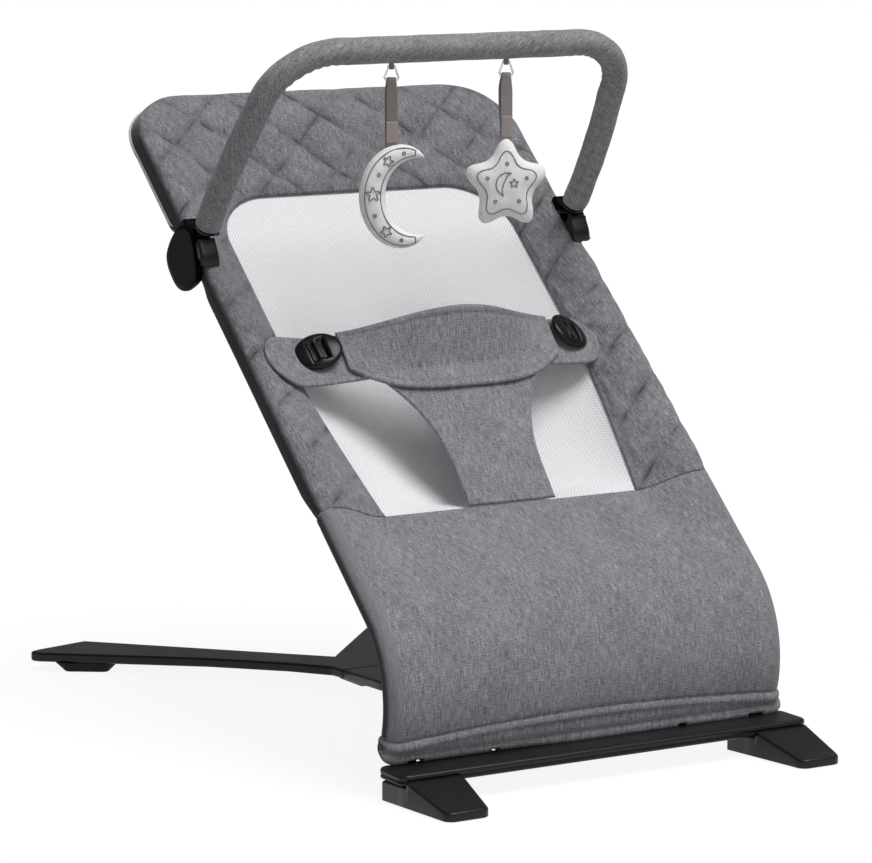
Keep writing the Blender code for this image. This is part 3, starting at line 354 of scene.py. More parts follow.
def heather(name, dark, middle, light, twist=0.0, side=None, turns=(0.87, 0.99)):
    """Woven cloth from noise stretched along both threads; twist turns the weave, in radians.

    With a side colour, faces that look outward on the object turn into it while normal x times the
    sign of x goes through the two values in turns; this is painted shade on the sides that face away
    from the light.
    """
    finish, tree, shader = new_finish(name, Roughness=0.92, Sheen_Weight=0.18, Sheen_Roughness=0.45)
    shader.inputs["Specular IOR Level"].default_value = 0.25
    uv = add(tree, "Mapping", {"Vector": own(tree, "UV"), "Rotation": (0.0, 0.0, twist)}).outputs[0]
    warp = noise(tree, uv, (THREAD, SLUB, 1.0))
    weft = noise(tree, uv, (SLUB * 0.60, THREAD, 1.0))
    fleck = noise(tree, uv, (THREAD, THREAD, 1.0), 2.0)
    cloud = noise(tree, uv, (0.035, 0.050, 1.0), 2.0)
    threads = math_node(tree, "MULTIPLY_ADD", weft, 0.36, math_node(tree, "MULTIPLY", warp, 0.46))
    mixed = math_node(tree, "MULTIPLY_ADD", fleck, 0.18, threads)
    shade = math_node(tree, "MULTIPLY_ADD", cloud, 0.10, math_node(tree, "SUBTRACT", mixed, 0.05))
    colour = ramp(tree, shade, (0.37, dark), (0.50, middle), (0.64, light))
    # Painted shade: faces that look outward, the side walls away from the light, turn into the side colour.
    if side:
        which = math_node(tree, "SIGN", split(tree, own(tree, "Object"))[0])
        outward = math_node(tree, "MULTIPLY", split(tree, own(tree, "Normal"))[0], which)
        colour = blend(tree, map_range(tree, outward, *turns), colour, linear(side))
    dress(tree, shader, colour, mixed, 0.40, 0.0009)
    return finish, tree, shader


seat_cloth = heather("heather grey polyester weave", "#525155", "#828186", "#afaeb3")[0]
# The side colour of the lower panel is painted shade on its wraps round the tubes and on the hem's ends.
panel_cloth = heather(
    "heather grey weave with dark sides", "#525155", "#807f84", "#acabb0", side="#3a393d"
)[0]
bar_cloth = heather("dark heather sleeve weave", "#58585b", "#8b8b8e", "#bdbdc0", 0.62)[0]
piping_cloth = heather("pale grey piping cloth", "#a5a5a8", "#c4c4c7", "#dcdcdf")[0]

# %% [markdown]
# ## Quilted cloth
#
# The border is the same weave over wadding, sewn through along two families of slanting lines, so that
# it swells into diamonds. The swelling is real geometry, made with the surface itself. The shade of the
# sunken thread and of the soft hollow beside it is narrower than the grid shows, so it is painted in the
# material: a second UV map counts the seams in whole numbers, and the cloth is painted darker where a
# coordinate comes near one, in a narrow line and in a wide hollow, both stronger in some places than in
# others. On the two side strips the first family is drawn weaker than the second, as in the photograph.

# %% Quilted cloth
SEAM_PITCH = 0.0437
SEAM_ANGLE = math.radians(42.0)
# Widths of the painted seam shade: a narrow line and a wide hollow.
SEAM_SHADE_LINE = 0.0018
SEAM_SHADE_HOLLOW = 0.0075
STRIP_X = (0.120, 0.150)
STRIP_TOP = (0.500, 0.470)


def quilted(name, dark, middle, light):
    """Heather cloth with painted shade: its colour darkens in the seams that the map QuiltMap counts."""
    # The side colour here is painted shade on the border's outward side walls.
    finish, tree, shader = heather(name, dark, middle, light, side="#2a292d", turns=(0.72, 0.95))
    seams = add(tree, "UVMap", uv_map="QuiltMap").outputs[0]
    place = split(tree, own(tree, "Object"))
    aside = map_range(tree, math_node(tree, "ABSOLUTE", place[0]), *STRIP_X)
    strip = math_node(tree, "MULTIPLY", aside, map_range(tree, place[2], *STRIP_TOP))
    lines = []
    for count, (on_head, on_strip) in zip(split(tree, seams), ((1.0, 0.30), (0.80, 1.0))):
        wave = math_node(tree, "PINGPONG", count, 0.5)
        near = []
        for reach in (SEAM_SHADE_LINE, SEAM_SHADE_HOLLOW):
            far = math_node(tree, "MULTIPLY", wave, SEAM_PITCH / reach)
            near.append(math_node(tree, "SUBTRACT", 1.0, far, clamp=True))
        line = math_node(tree, "MULTIPLY_ADD", near[1], 0.55, math_node(tree, "MULTIPLY", near[0], 0.38))
        strength = map_range(tree, strip, 0.0, 1.0, on_head, on_strip)
        lines.append(math_node(tree, "MULTIPLY", line, strength))
    patchy = map_range(tree, noise(tree, seams, (0.55, 0.55, 1.0), 1.0), 0.36, 0.66)
    # Painted shade: the cloth turns towards dark grey along the seams and in the hollows beside them.
    crease = math_node(tree, "MULTIPLY", math_node(tree, "MAXIMUM", *lines), patchy)
    base = shader.inputs["Base Color"].links[0].from_socket
    tree.links.new(blend(tree, crease, base, linear("#39383c")), shader.inputs["Base Color"])
    return finish


quilt_cloth = quilted("quilted heather grey polyester", "#4d4c50", "#7b7a7f", "#a7a6ab")

# %% [markdown]
# ## Spacer mesh
#
# The window holds a knitted polyester spacer mesh, off-white, with small six-sided holes in slanting
# rows, and ribs that run up it. The real holes are about 2 mm apart; here a row comes every 2.7 mm,
# the finest that shows. Two waves that cross make the holes, which are darker and sunk in the bump. The
# yarn is matt and lets a little light into itself.

# %% Spacer mesh
HOLE_PITCH = 0.0027
HOLE_STRETCH = 1.4
RIB_PITCH = 0.0031


def wave_node(tree, operation, value, pitch):
    """The output of a sine or cosine with that pitch, in metres."""
    return math_node(tree, operation, math_node(tree, "MULTIPLY", value, 2 * math.pi / pitch))


def spacer_mesh():
    """Off-white knit: the sum of two slanted waves is low in the holes, and a third makes ribs."""
    finish, tree, shader = new_finish("off-white knitted spacer mesh", Roughness=0.85, Sheen_Weight=0.1)
    shader.inputs["Specular IOR Level"].default_value = 0.3
    shader.inputs["Subsurface Weight"].default_value = 0.20
    shader.inputs["Subsurface Radius"].default_value = (0.004, 0.004, 0.004)
    u, v, _ = split(tree, own(tree, "UV"))
    slanted = [math_node(tree, "MULTIPLY_ADD", u, slant, v) for slant in (1.15, -1.15)]
    waves = [wave_node(tree, "COSINE", along, HOLE_PITCH * HOLE_STRETCH) for along in slanted]
    holes = math_node(tree, "MULTIPLY_ADD", math_node(tree, "ADD", *waves), 0.25, 0.5)
    knit = math_node(tree, "MULTIPLY_ADD", wave_node(tree, "COSINE", u, RIB_PITCH), 0.10, holes)
    colour = ramp(tree, knit, (0.05, "#cfcfd2"), (0.42, "#e6e6e9"), (0.85, "#f3f3f5"))
    dress(tree, shader, colour, knit, 0.35, 0.0008)
    return finish


window_mesh = spacer_mesh()

# %% [markdown]
# ## Plastics, paint, rubber and thread
#
# Front bar and feet are moulded nylon with a fine spark-eroded grain, which scatters the highlight. The
# clips are nylon too, matt on the cheeks and glossier on the bridge that catches the light; the buckles
# are acetal, dense and even. The tubes, spine and fork are steel under black powder paint, whose
# orange-peel ripple shows only in reflections. These finishes sit on pieces without a UV map, so their
# patterns read Object coordinates, in metres.

# %% Hard finishes

def moulded(name, code, roughness, grain, depth, wear=0.06, gloss=0.30, **sockets):
    """Plastic or paint: one colour, a noise of the grain's size in the bump and a broad noise in the
    roughness.
    """
    finish, tree, shader = new_finish(name, **sockets)
    place = own(tree, "Object")
    broad = noise(tree, place, (0.045, 0.045, 0.045), 3.0)
    shader.inputs["Specular IOR Level"].default_value = gloss
    uneven = math_node(tree, "MULTIPLY_ADD", broad, wear * 2, roughness - wear)
    tree.links.new(uneven, shader.inputs["Roughness"])
    dress(tree, shader, code, noise(tree, place, (grain, grain, grain), 2.0), 0.35, depth)
    return finish


nylon = moulded("moulded charcoal nylon, fine grain", "#18171b", 0.34, 0.0009, 0.00008, 0.05)
acetal = moulded("moulded black acetal", "#0a090b", 0.30, 0.0012, 0.00005, 0.05)
clip_nylon = moulded("moulded black nylon, matt", "#040405", 0.42, 0.0010, 0.00006, 0.05, 0.03)
post_nylon = moulded("moulded black nylon, satin", "#0a0a0c", 0.34, 0.0010, 0.00006, 0.05, 0.40)
paint = moulded("black powder-coated steel", "#0f0f10", 0.32, 0.0035, 0.00010, 0.08)
rubber = moulded("moulded black rubber", "#141414", 0.80, 0.0008, 0.00015)
zinc = moulded("zinc-plated steel", "#a9abad", 0.32, 0.0010, 0.00004, 0.08, 0.5, Metallic=1.0)
clear = moulded(
    "clear moulded copolyester", "#f2f5f6", 0.10, 0.0020, 0.00003, 0.04, 0.5, Transmission_Weight=0.85
)

# %% Bands, fleece and thread

def woven_band(name, code, light, pitch, roughness, sheen):
    """Ribbon or webbing: fine ribs across the band, from a wave along its length."""
    finish, tree, shader = new_finish(name, Roughness=roughness, Sheen_Weight=sheen)
    place = own(tree, "UV")
    rib = wave_node(tree, "SINE", split(tree, place)[1], pitch)
    height = math_node(tree, "MULTIPLY_ADD", rib, 0.20, noise(tree, place, (0.0008, 0.0030, 1.0)))
    dress(tree, shader, ramp(tree, height, (0.25, code), (0.85, light)), height, 0.4, 0.0004)
    return finish


ribbons = {
    "left": woven_band("olive grey satin ribbon", "#6c6863", "#8d8882", 0.0016, 0.42, 0.25),
    "right": woven_band("mauve grey satin ribbon", "#7f7376", "#a2979b", 0.0016, 0.34, 0.25),
}
ribbon_light = woven_band("taupe satin ribbon, shiny side", "#8d7f7b", "#b5a9a6", 0.0016, 0.30, 0.25)
webbing = woven_band("black nylon webbing", "#0e0e0f", "#2a2a2c", 0.0022, 0.70, 0.10)
loop_tape = woven_band("grey cotton tape", "#6b6a6c", "#98979a", 0.0014, 0.80, 0.10)


def plush_pile():
    """Short brushed pile: soft noise at two sizes in the bump, a little sheen and light let in."""
    finish, tree, shader = new_finish(
        "off-white brushed fleece", Roughness=0.95, Sheen_Weight=0.35, Sheen_Roughness=0.4
    )
    shader.inputs["Subsurface Weight"].default_value = 0.25
    shader.inputs["Subsurface Radius"].default_value = (0.004, 0.003, 0.003)
    place = own(tree, "Object")
    tuft = noise(tree, place, (0.0016, 0.0016, 0.0016), 4.0, 0.7)
    height = math_node(tree, "MULTIPLY_ADD", noise(tree, place, (0.0070, 0.0070, 0.0070), 2.0), 0.5, tuft)
    dress(tree, shader, ramp(tree, height, (0.40, "#f8f7f5"), (0.95, "#fefdfc")), height, 0.6, 0.0012)
    return finish


def thread_finish(name, code):
    """Twisted sewing thread: one colour, rather rough, with a sheen."""
    finish, _, shader = new_finish(name, Roughness=0.6, Sheen_Weight=0.3)
    shader.inputs["Base Color"].default_value = linear(code)
    return finish


plush = plush_pile()
grey_thread = thread_finish("grey embroidery thread", "#77777a")
seam_thread = thread_finish("light grey sewing thread", "#a3a2a6")

# %% Finishes on the CAD pieces
FINISHES = (
    (nylon, ("front_bar", "front_foot_left", "front_foot_right", "bar_end", "hinge_bracket")),
    (clip_nylon, ("toy_bar_clip",)),
    (paint, ("spine", "wishbone", "junction_plate", "cross_tube", "side_tube", "upper_frame")),
    (paint, ("frame_insert", "toy_bar_core", "pivot_pin")),
    (zinc, ("junction_screw", "bracket_screw")),
    (rubber, ("front_foot_pad", "rear_foot")),
    (acetal, ("buckle_left", "buckle_right")),
    (clear, ("ring_",)),
)
for finish, starts in FINISHES:
    for name, node in nodes.items():
        if name.startswith(starts):
            node.data.materials.clear()
            node.data.materials.append(finish)

# %% [markdown]
# ## Moulded blocks
#
# Bar, feet, spine and clips are solid mouldings and pressings with soft edges. Each is a stack of
# rings: the outline of the piece, drawn in by a distance, at a height. Near an edge the inset and the
# height go round a quarter of a circle, which is what catches a line of light, and the last ring closes
# on the middle. The CAD solids have flat bevels there, so these rounder skins take their place.

# %% Stacked rings

def rounded_edge(radius, depth, steps=7):
    """Pairs (inset, drop) from a rim over a quarter circle and then level to the middle of the piece."""
    a = np.linspace(0, RIGHT_ANGLE, steps)
    level_on = radius + (depth - radius) * np.array((0.15, 0.4, 0.7, 1.0))
    inset = np.concatenate((radius * (1 - np.cos(a)), level_on))
    drop = np.concatenate((radius * (1 - np.sin(a)), np.zeros(4)))
    return list(zip(inset, drop))


def block(name, ring, edges, heights, place, body, finish, replaces):
    """A closed solid: ring(inset) is its outline, edges and heights are (low, high), place maps it.

    A height is a function of the outline's (a, b), or one number.
    """
    levels = []
    for edge, height, sign in ((edges[0][::-1], heights[0], 1), (edges[1], heights[1], -1)):
        for inset, drop in edge:
            a, b = ring(inset)
            high = height(a, b) if callable(height) else height
            levels.append(np.stack((a, b, high + sign * drop + 0 * a), -1))
    stack = np.stack(levels)
    stack = np.concatenate((stack, stack[:, :1]), axis=1)
    points = place(*np.moveaxis(stack, -1, 0)).reshape(-1, 3)
    return new_piece(name, points, quads(numbered(stack)), body, finish, None, replaces)


def arc(center_a, center_b, radius, start, end, steps=8):
    """Points on a circle between two angles in degrees."""
    t = np.radians(np.linspace(start, end, steps))
    return center_a + radius * np.cos(t), center_b + radius * np.sin(t)


def in_world(x, y, z):
    """World points from three arrays."""
    return np.stack((x, y, z), -1)


# %% Front bar, with a lip along its edge
BAR_CORNER = 0.0095
BAR_LIP = [(0.0005, 0.0066), (0.0005, 0.0058), (0.0010, 0.0054), (0.0006, 0.0049), (0.0, 0.0045)]
bar_low, bar_high = (np.array(v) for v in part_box("front_bar"))
bar_depth = (bar_high[1] - bar_low[1]) / 2


def bar_ring(inset):
    """A rectangle with round corners, whose sides move in by the inset."""
    (a0, b0), (a1, b1) = bar_low[:2] + inset, bar_high[:2] - inset
    r = min(max(BAR_CORNER - inset, 0.0002), (b1 - b0) / 2, (a1 - a0) / 2)
    corners = [arc(a1 - r, b0 + r, r, -90, 0), arc(a1 - r, b1 - r, r, 0, 90)]
    corners += [arc(a0 + r, b1 - r, r, 90, 180), arc(a0 + r, b0 + r, r, 180, 270)]
    return tuple(np.concatenate(v) for v in zip(*corners))


block(
    "front_bar_shell", bar_ring, (rounded_edge(0.0022, bar_depth), BAR_LIP + rounded_edge(0.0028, bar_depth)),
    (bar_low[2], bar_high[2]), in_world, "base", nylon, ["front_bar"],
)

# %% Front feet
FOOT_TOE_ROUND = 0.0090
FOOT_TOE_HIGH = 0.0090
FOOT_TOE_IN = (0.0125, 0.0070)
FOOT_BAR_HIGH = 0.0238
FOOT_SLOPE = 0.0535
FOOT_CLOSES = 0.0170
FOOT_MARKS = np.array((-0.0001, 0.0003, 0.004, 0.010, 0.017, 0.024, 0.031, 0.038))


def foot_ring(side, low, high):
    """A wedge's outline: straight behind, then narrowing to a round toe.

    Past FOOT_CLOSES the outline draws in to its middle line, on which the last ring closes.
    """
    inner, outer = sorted((abs(low[0]), abs(high[0])))

    def ring(inset):
        e = min(inset, FOOT_CLOSES)
        r = max(FOOT_TOE_ROUND - e * 0.8, 0.0004)
        toe_in, toe_out = inner + FOOT_TOE_IN[0] + e, outer - FOOT_TOE_IN[1] - e
        front, back = low[1] + e, high[1] - e
        run = np.concatenate(((back,), bar_low[1] - FOOT_MARKS, (front + r,)))
        share = (back - run) / (back - front - r)
        parts = [(mix(inner + e, toe_in, share), run), arc(toe_in + r, front + r, r, 180, 270)]
        parts += [arc(toe_out - r, front + r, r, 270, 360)]
        parts += [(mix(outer - e, toe_out, share)[::-1], run[::-1])]
        x, y = (np.concatenate(v) for v in zip(*parts))
        if inset > e:
            narrowing = np.clip((back - y) / (back - front), 0, 1)
            middle = mix(inner + outer, toe_in + toe_out, narrowing) / 2
            x = mix(x, middle, (inset - e) / (1 - e))
        return (x, y) if side > 0 else (-x[::-1], y[::-1])
    return ring


def foot_top(x, y):
    """Height of the wedge: level at the toe, then a straight slope to the bar, and under it beside it."""
    slope = mix(FOOT_TOE_HIGH, FOOT_BAR_HIGH, np.clip((y - bar_low[1]) / FOOT_SLOPE + 1, 0, 1))
    return np.where(y < bar_low[1] - 0.0002, slope, bar_low[2] - 0.0002)


for side, word in SIDES:
    low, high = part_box("front_foot_" + word)
    block(
        "front_foot_shell_" + word, foot_ring(side, low, high),
        (rounded_edge(0.0010, 1.0), rounded_edge(0.0026, 1.0)), (low[2], foot_top), in_world,
        "base", nylon, ["front_foot_" + word],
    )

# %% Spine
SPINE_HALF = 0.0185
SPINE_WIDENS_AT = 0.0556
SPINE_IN_BAR = 0.0080
JOGGLE = (0.0094, 0.010, 0.034)
spine_low, spine_high = (np.array(v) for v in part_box("spine"))
spine_from = bar_high[1] - SPINE_IN_BAR


def spine_ring(inset):
    """A strip that runs back from inside the bar, straight and then widening to the fork."""
    ends = (SPINE_WIDENS_AT, spine_high[1] - inset)
    run = np.concatenate((np.linspace(spine_from + inset, spine_from + 0.060, 24), ends))
    widening = np.clip((run - SPINE_WIDENS_AT) / (spine_high[1] - SPINE_WIDENS_AT), 0, 1)
    half = mix(SPINE_HALF, spine_high[0], widening) * (1 - inset / SPINE_HALF)
    return np.concatenate((half, -half[::-1])), np.concatenate((run, run[::-1]))


def spine_rise(height):
    """The spine's level, which climbs by a joggle to the back of the front bar."""
    rise, start, run = JOGGLE
    return lambda x, y: height + rise * ease(1 - (y - spine_from - start) / run)


block(
    "spine_shell", spine_ring, (rounded_edge(0.0016, SPINE_HALF), rounded_edge(0.0020, SPINE_HALF)),
    (spine_rise(spine_low[2]), spine_rise(spine_high[2])), in_world, "base", paint, ["spine"],
)

# %% [markdown]
# ## Clips of the toy bar
#
# A clip is a thin cheek outside the cover, a pad behind it, a bridge that reaches over the bar's end and
# a heel and floor that close it below. They leave room for the bar's tongue to turn. The outlines are
# side views: cheek and pad in the seat's (s, n), the rest from the pivot. The right cheek ends higher,
# where the photograph's border hides it.

# %% Toy bar clips
CLIP_CHEEK = (
    (0.4766, 0.0605), (0.4822, 0.0440), (0.4880, 0.0345), (0.4975, 0.0285), (0.5100, 0.0270),
    (0.5233, 0.0290), (0.5318, 0.0350), (0.5350, 0.0470), (0.5348, 0.0615), (0.5318, 0.0735),
    (0.5240, 0.0832), (0.5140, 0.0868), (0.5020, 0.0830), (0.4900, 0.0755), (0.4806, 0.0680),
)
CLIP_BRIDGE = (
    (-0.0296, -0.0100), (-0.0200, -0.0103), (-0.0066, -0.0103), (-0.0062, -0.0060), (-0.0068, 0.0026),
    (-0.0115, 0.0014), (-0.0170, -0.0004), (-0.0225, -0.0026), (-0.0272, -0.0060),
)
CLIP_HEEL = (
    (0.0088, -0.0103), (0.0200, -0.0103), (0.0236, -0.0098), (0.0240, -0.0060), (0.0215, -0.0026),
    (0.0150, -0.0030), (0.0115, -0.0026), (0.0094, -0.0034), (0.0086, -0.0070),
)
CLIP_FLOOR = ((-0.0080, -0.0103), (0.0100, -0.0103), (0.0100, -0.0068), (-0.0080, -0.0068))
CHEEK_X = (0.2053, 0.2075)
CHEEK_FROM = {"left": 0.4700, "right": 0.4900}
PAD_X = (0.2021, 0.2060)
PAD_TOP = 0.0735
BRIDGE_X = (0.1875, 0.2062)
FLOOR_X = (0.1880, 0.2058)
CLIP_INSET = 0.0020


def closed_curve(points, steps=7):
    """Catmull-Rom curve through points that close on themselves."""
    p = np.asarray(points, float)
    t = np.linspace(0, 1, steps, endpoint=False)[:, None, None]
    curve = catmull_rom(np.roll(p, 1, 0), p, np.roll(p, -1, 0), np.roll(p, -2, 0), t)
    return np.moveaxis(curve, 0, 1).reshape(-1, 2)


def outline_ring(outline, side, limit):
    """A ring function: the outline moved in along its normals, and past a limit drawn to its middle."""
    step = unit(np.roll(outline, -1, 0) - np.roll(outline, 1, 0))
    inward = np.stack((-step[:, 1], step[:, 0]), -1)

    def ring(inset):
        e = min(inset, limit)
        curve = outline + inward * e
        curve = mix(curve, curve.mean(axis=0), (inset - e) / (1 - e))
        return tuple(curve[::side].T)
    return ring


def side_view(side):
    """A map from (along, out, x) to world points, with x mirrored for the left."""
    return lambda along, out, x: on_seat(side * x, along, out)


PIVOT = np.array(joints["toy_bar_tilt"]["pos_m"], float)
pivot_on_seat = np.array(((PIVOT - HINGE) @ UP_SLOPE, (PIVOT - HINGE) @ OUT_OF_SLOPE))
bridge, heel, ground = (closed_curve(pivot_on_seat + v) for v in (CLIP_BRIDGE, CLIP_HEEL, CLIP_FLOOR))
for side, word in SIDES:
    cheek = closed_curve(CLIP_CHEEK)
    cheek[:, 0] = np.maximum(cheek[:, 0], CHEEK_FROM[word])
    pad = np.stack((cheek[:, 0], np.minimum(cheek[:, 1], PAD_TOP)), -1)
    parts = (
        ("cheek", cheek, CHEEK_X, 0.0006, 0.0014, clip_nylon),
        ("pad", pad, PAD_X, 0.0010, 0.0010, clip_nylon),
        ("bridge", bridge, BRIDGE_X, 0.0022, 0.0040, post_nylon),
        ("heel", heel, BRIDGE_X, 0.0012, 0.0020, clip_nylon),
        ("floor", ground, FLOOR_X, 0.0010, 0.0010, clip_nylon),
    )
    for part, outline, span, inner_edge, outer_edge, finish in parts:
        block(
            f"clip_{part}_{word}", outline_ring(outline, side, min(inner_edge, CLIP_INSET)),
            (rounded_edge(inner_edge, 1.0), rounded_edge(outer_edge, 1.0)), span, side_view(side),
            "clips", finish, ["toy_bar_clip_" + word],
        )

# %% [markdown]
# ## The quilted border
#
# The border goes round three sides of the seat: up one side tube, across the top and down the other.
# Across its width it starts at the rim of the window, climbs over the tube and wraps behind it. Round
# the headrest it has a deeper side wall, edged with pale piping. The first parameter of the surface
# runs across that section and the second runs round the frame. The wadding lifts each diamond by
# fa times fb to a power, where fa and fb are sine waves that are zero on the seams.

# %% Sizes shared with the CAD cover
TUBE_SPAN = 0.1900
BEND_RADIUS = 0.0985
BEND_TURN = RIGHT_ANGLE - SLOPE + math.radians(20.8)
TUBE_N = BEND_RADIUS * (1 - math.cos(BEND_TURN))
CORNER = 0.0520
DECK_TOP = 0.6840
CLOTH = 0.0030
COVER = 0.0102
RIM_DROP = 0.0200
WINDOW_LOW = 0.2015
WINDOW_HIGH = 0.5785
WINDOW_CORNER = 0.0350
WINDOW_HALF = (0.1305, 0.1510)
WINDOW_EVEN_FROM = 0.4200
SEAM_GAP = 0.0003
print("deck plane at n =", round(TUBE_N, 4))


def window_half(s):
    """Half width of the window: a quarter sine wave from its foot to where its sides run straight."""
    t = np.clip((s - WINDOW_LOW) / (WINDOW_EVEN_FROM - WINDOW_LOW), 0, 1)
    return mix(*WINDOW_HALF, np.sin(t * RIGHT_ANGLE))


# %% The border's middle layer
WALL_DEPTH = (0.0045, 0.0090)
WALL_FROM = 0.206
RETURN_TURN = math.radians(55)
FLARE = 0.0060
RIM_CORNER = 0.0560
COVER_CORNER = 0.0440
CLIP_S = 0.5058
CLIP_REACH = 0.040
OVERLAP = 0.0016
LAP_LIFT = 0.0008
LAP_REACH = 0.006


def border_rows(straight, bend, flat):
    """Places round the frame, 0 to 6: 1 and 5 are below the corners, 2 and 4 past them, 3 the middle."""
    counts = enumerate((straight, bend, flat))
    half = np.concatenate([np.linspace(i, i + 1, count)[min(i, 1):] for i, count in counts])
    return np.concatenate((half, (6 - half[:-1])[::-1]))


def border_stations(t):
    """Tube point, rim point and outward direction in the plane (x, s) for each place round the frame."""
    side = np.where(t > 3, -1.0, 1.0)
    corner = np.where(t > 3, COVER_CORNER, CORNER)
    t = np.where(t > 3, 6 - t, t)
    up, turn, flat = np.clip(t, 0, 1), np.clip(t - 1, 0, 1) * RIGHT_ANGLE, np.clip(3 - t, 0, 1)
    outward = np.stack((np.cos(turn) * side, np.sin(turn)), -1)
    found = []
    for half, high, radius in ((TUBE_SPAN, DECK_TOP, corner), (WINDOW_HALF[1], WINDOW_HIGH, RIM_CORNER)):
        s = mix(WINDOW_LOW - OVERLAP, high - radius, up) + radius * np.sin(turn)
        x = (half - radius) * flat + radius * np.cos(turn) * (t < 2)
        if half != TUBE_SPAN:
            x = x + (window_half(s) - half) * (t <= 1)
        found.append(np.stack((x * side, s), -1))
    return found[0], found[1], outward


def border_middle(columns, t):
    """Middle layer, its plan, the plan as if laid flat, and the distance from the rim.

    Across: a straight line in plan from rim to tube with an eased height, a quarter circle round the
    tube, a side wall and the return behind it.
    """
    tube, rim, outward = (v[:, None] for v in border_stations(t))
    k, bend, wall, back = (column[None, :, None] for column in columns)
    at = tube[..., 1:]
    depth = mix(*WALL_DEPTH, ease((at - CLIP_S) / 0.040)) * ease((at - WALL_FROM) / 0.030)
    depth = depth * (1 - bump_at(at, CLIP_S, CLIP_REACH, 8))
    phi, psi = bend * RIGHT_ANGLE, back * RETURN_TURN
    flare = FLARE * np.clip(-outward[..., :1] * outward[..., 1:], 0, 1) * wall
    out = COVER * np.sin(phi) * np.cos(psi) + flare
    drop = COVER * np.cos(phi) - depth * wall - COVER * np.sin(psi)
    flat = mix(rim, tube, k)
    plan = flat + outward * out
    n = TUBE_N + np.where(k < 1, mix(COVER - RIM_DROP, COVER, ease(k)), drop)
    n = n + LAP_LIFT * ease(1 - (plan[..., 1:] - WINDOW_LOW) / LAP_REACH)
    laid = flat + outward * (COVER * phi + depth * wall + COVER * psi)
    from_rim = k[..., 0] * np.linalg.norm(tube - rim, axis=-1)
    return on_seat(plan[..., 0], plan[..., 1], n[..., 0]), plan, laid, from_rim


# %% The border's wadding
PUFF = 0.0054
PUFF_POWER = 0.42
SEAM_SHIFT = (0.353, 0.366)
SEAM_SHARES = ((1.0, 0.30), (0.75, 1.0))
WING_S = 0.369


def seam_counts(laid):
    """How many seams of each family lie below a point of the flat cloth."""
    up, aside = laid[..., 1] * math.cos(SEAM_ANGLE), laid[..., 0] * math.sin(SEAM_ANGLE)
    return (up + aside - SEAM_SHIFT[0]) / SEAM_PITCH, (up - aside - SEAM_SHIFT[1]) / SEAM_PITCH


def border_puff(columns, t, plan, laid, from_rim, low_end):
    """How far the wadding lifts the outer face: PUFF (fa fb)^0.42 and small wrinkles.

    It fades at the rim, under clips and wing, on the tube, down the wall and at the low ends.
    """
    k, bend, wall, back = (column[None, :] for column in columns)
    x, s = plan[..., 0], plan[..., 1]
    strip = ease((np.abs(x) - STRIP_X[0]) / (STRIP_X[1] - STRIP_X[0])) * ease((0.600 - s) / 0.030)
    lift = 1.0
    for count, shares in zip(seam_counts(laid), SEAM_SHARES):
        lift = lift * mix(1.0, np.abs(np.sin(np.pi * count)) ** PUFF_POWER, mix(*shares, strip))
    clip = bump_at(s, CLIP_S, CLIP_REACH, 6) * ease((np.abs(x) - 0.160) / 0.014)
    wing = bump_at(s, WING_S, 0.040, 6) * ease((-x - 0.168) / 0.010)
    left = strip * (x < 0)
    fade = ease(from_rim / mix(0.012, 0.022, left)) * (1 - np.maximum(clip, wing)) * (1 - 0.25 * left)
    calm = mix(0.50, 0.75, ease((border_stations(t)[0][:, 1:] - CLIP_S) / 0.050))
    fade = fade * (1 - calm * ease((k - 0.60) / 0.40)) * (1 - calm * bend) * (1 - 0.7 * wall)
    fade = fade * (1 - back) * ease(low_end / 0.024)
    soft = mix(0.45, 1.0, ease(0.5 + 0.9 * ripples(x, s, 0.050, 5)))
    wrinkle = 0.0014 * ripples(x, s * 1.4, 0.022, 4) + 0.0009 * ripples(x + s, (x - s) * 0.4, 0.012, 6)
    return (PUFF * mix(1.0, lift, soft) + wrinkle) * fade


# %% The quilted border
BORDER_STEPS = (38, 12, 9, 6)


def border_columns(counts):
    """Four shares, each from 0 to 1 in turn: to the tube, a quarter round it, down the wall, back in."""
    steps = np.arange(sum(counts) + 1)
    starts = np.concatenate(((0,), np.cumsum(counts)))
    return [np.clip((steps - start) / count, 0, 1) for start, count in zip(starts, counts)]


rows = border_rows(165, 34, 56)
columns = border_columns(BORDER_STEPS)
middle, plan, laid, from_rim = border_middle(columns, rows)
low_end = np.where(np.abs(rows[:, None] - 3) > 2, plan[..., 1] - (WINDOW_LOW - OVERLAP), 1.0)
puff = border_puff(columns, rows, plan, laid, from_rim, low_end)
rounding = pillow(from_rim, 0.0022) * pillow((1 - columns[3]) * 0.010, 0.0020)
rounding = rounding * pillow(low_end, 0.0012) * mix(0.45, 1.0, ease(low_end / 0.014))
normal = normals_of(middle)
border_front = middle + normal * (rounding * CLOTH / 2 + puff)[..., None]
points, faces = two_sided(border_front, middle - normal * (rounding * CLOTH / 2)[..., None])
border = new_piece(
    "quilted_border_cover", points, faces, "seat", quilt_cloth,
    both(laid), ["quilted_border"], both(np.stack(seam_counts(laid), -1)),
)

# %% [markdown]
# ## The lower panel
#
# One plain piece of the same cloth closes the seat below the window. It is stretched between the side
# tubes, follows their bend down to the hinge and turns round the cross tube as a hem, which is slotted
# where the brackets hold the tube. A pull between two tubes leaves faint long waves, deepest near the
# window where nothing holds the middle. The hem is folded cloth, so it bulges a little and has a sewn
# groove above it, and its two ends flare past the side wraps.

# %% Lower panel: its middle layer
BEND_LENGTH = BEND_RADIUS * BEND_TURN
PANEL_TOP = BEND_LENGTH + WINDOW_LOW - BEND_RADIUS * math.sin(BEND_TURN)
PANEL_LOW = 0.0120
HEM_TURN = math.radians(200.0)
HEM_FULL = 0.0020
HEM_BULGE = 0.0052
HEM_SEAM = (0.0160, 0.0085)
HEM_FLARE = 0.12
WRAP = math.radians(140.0)


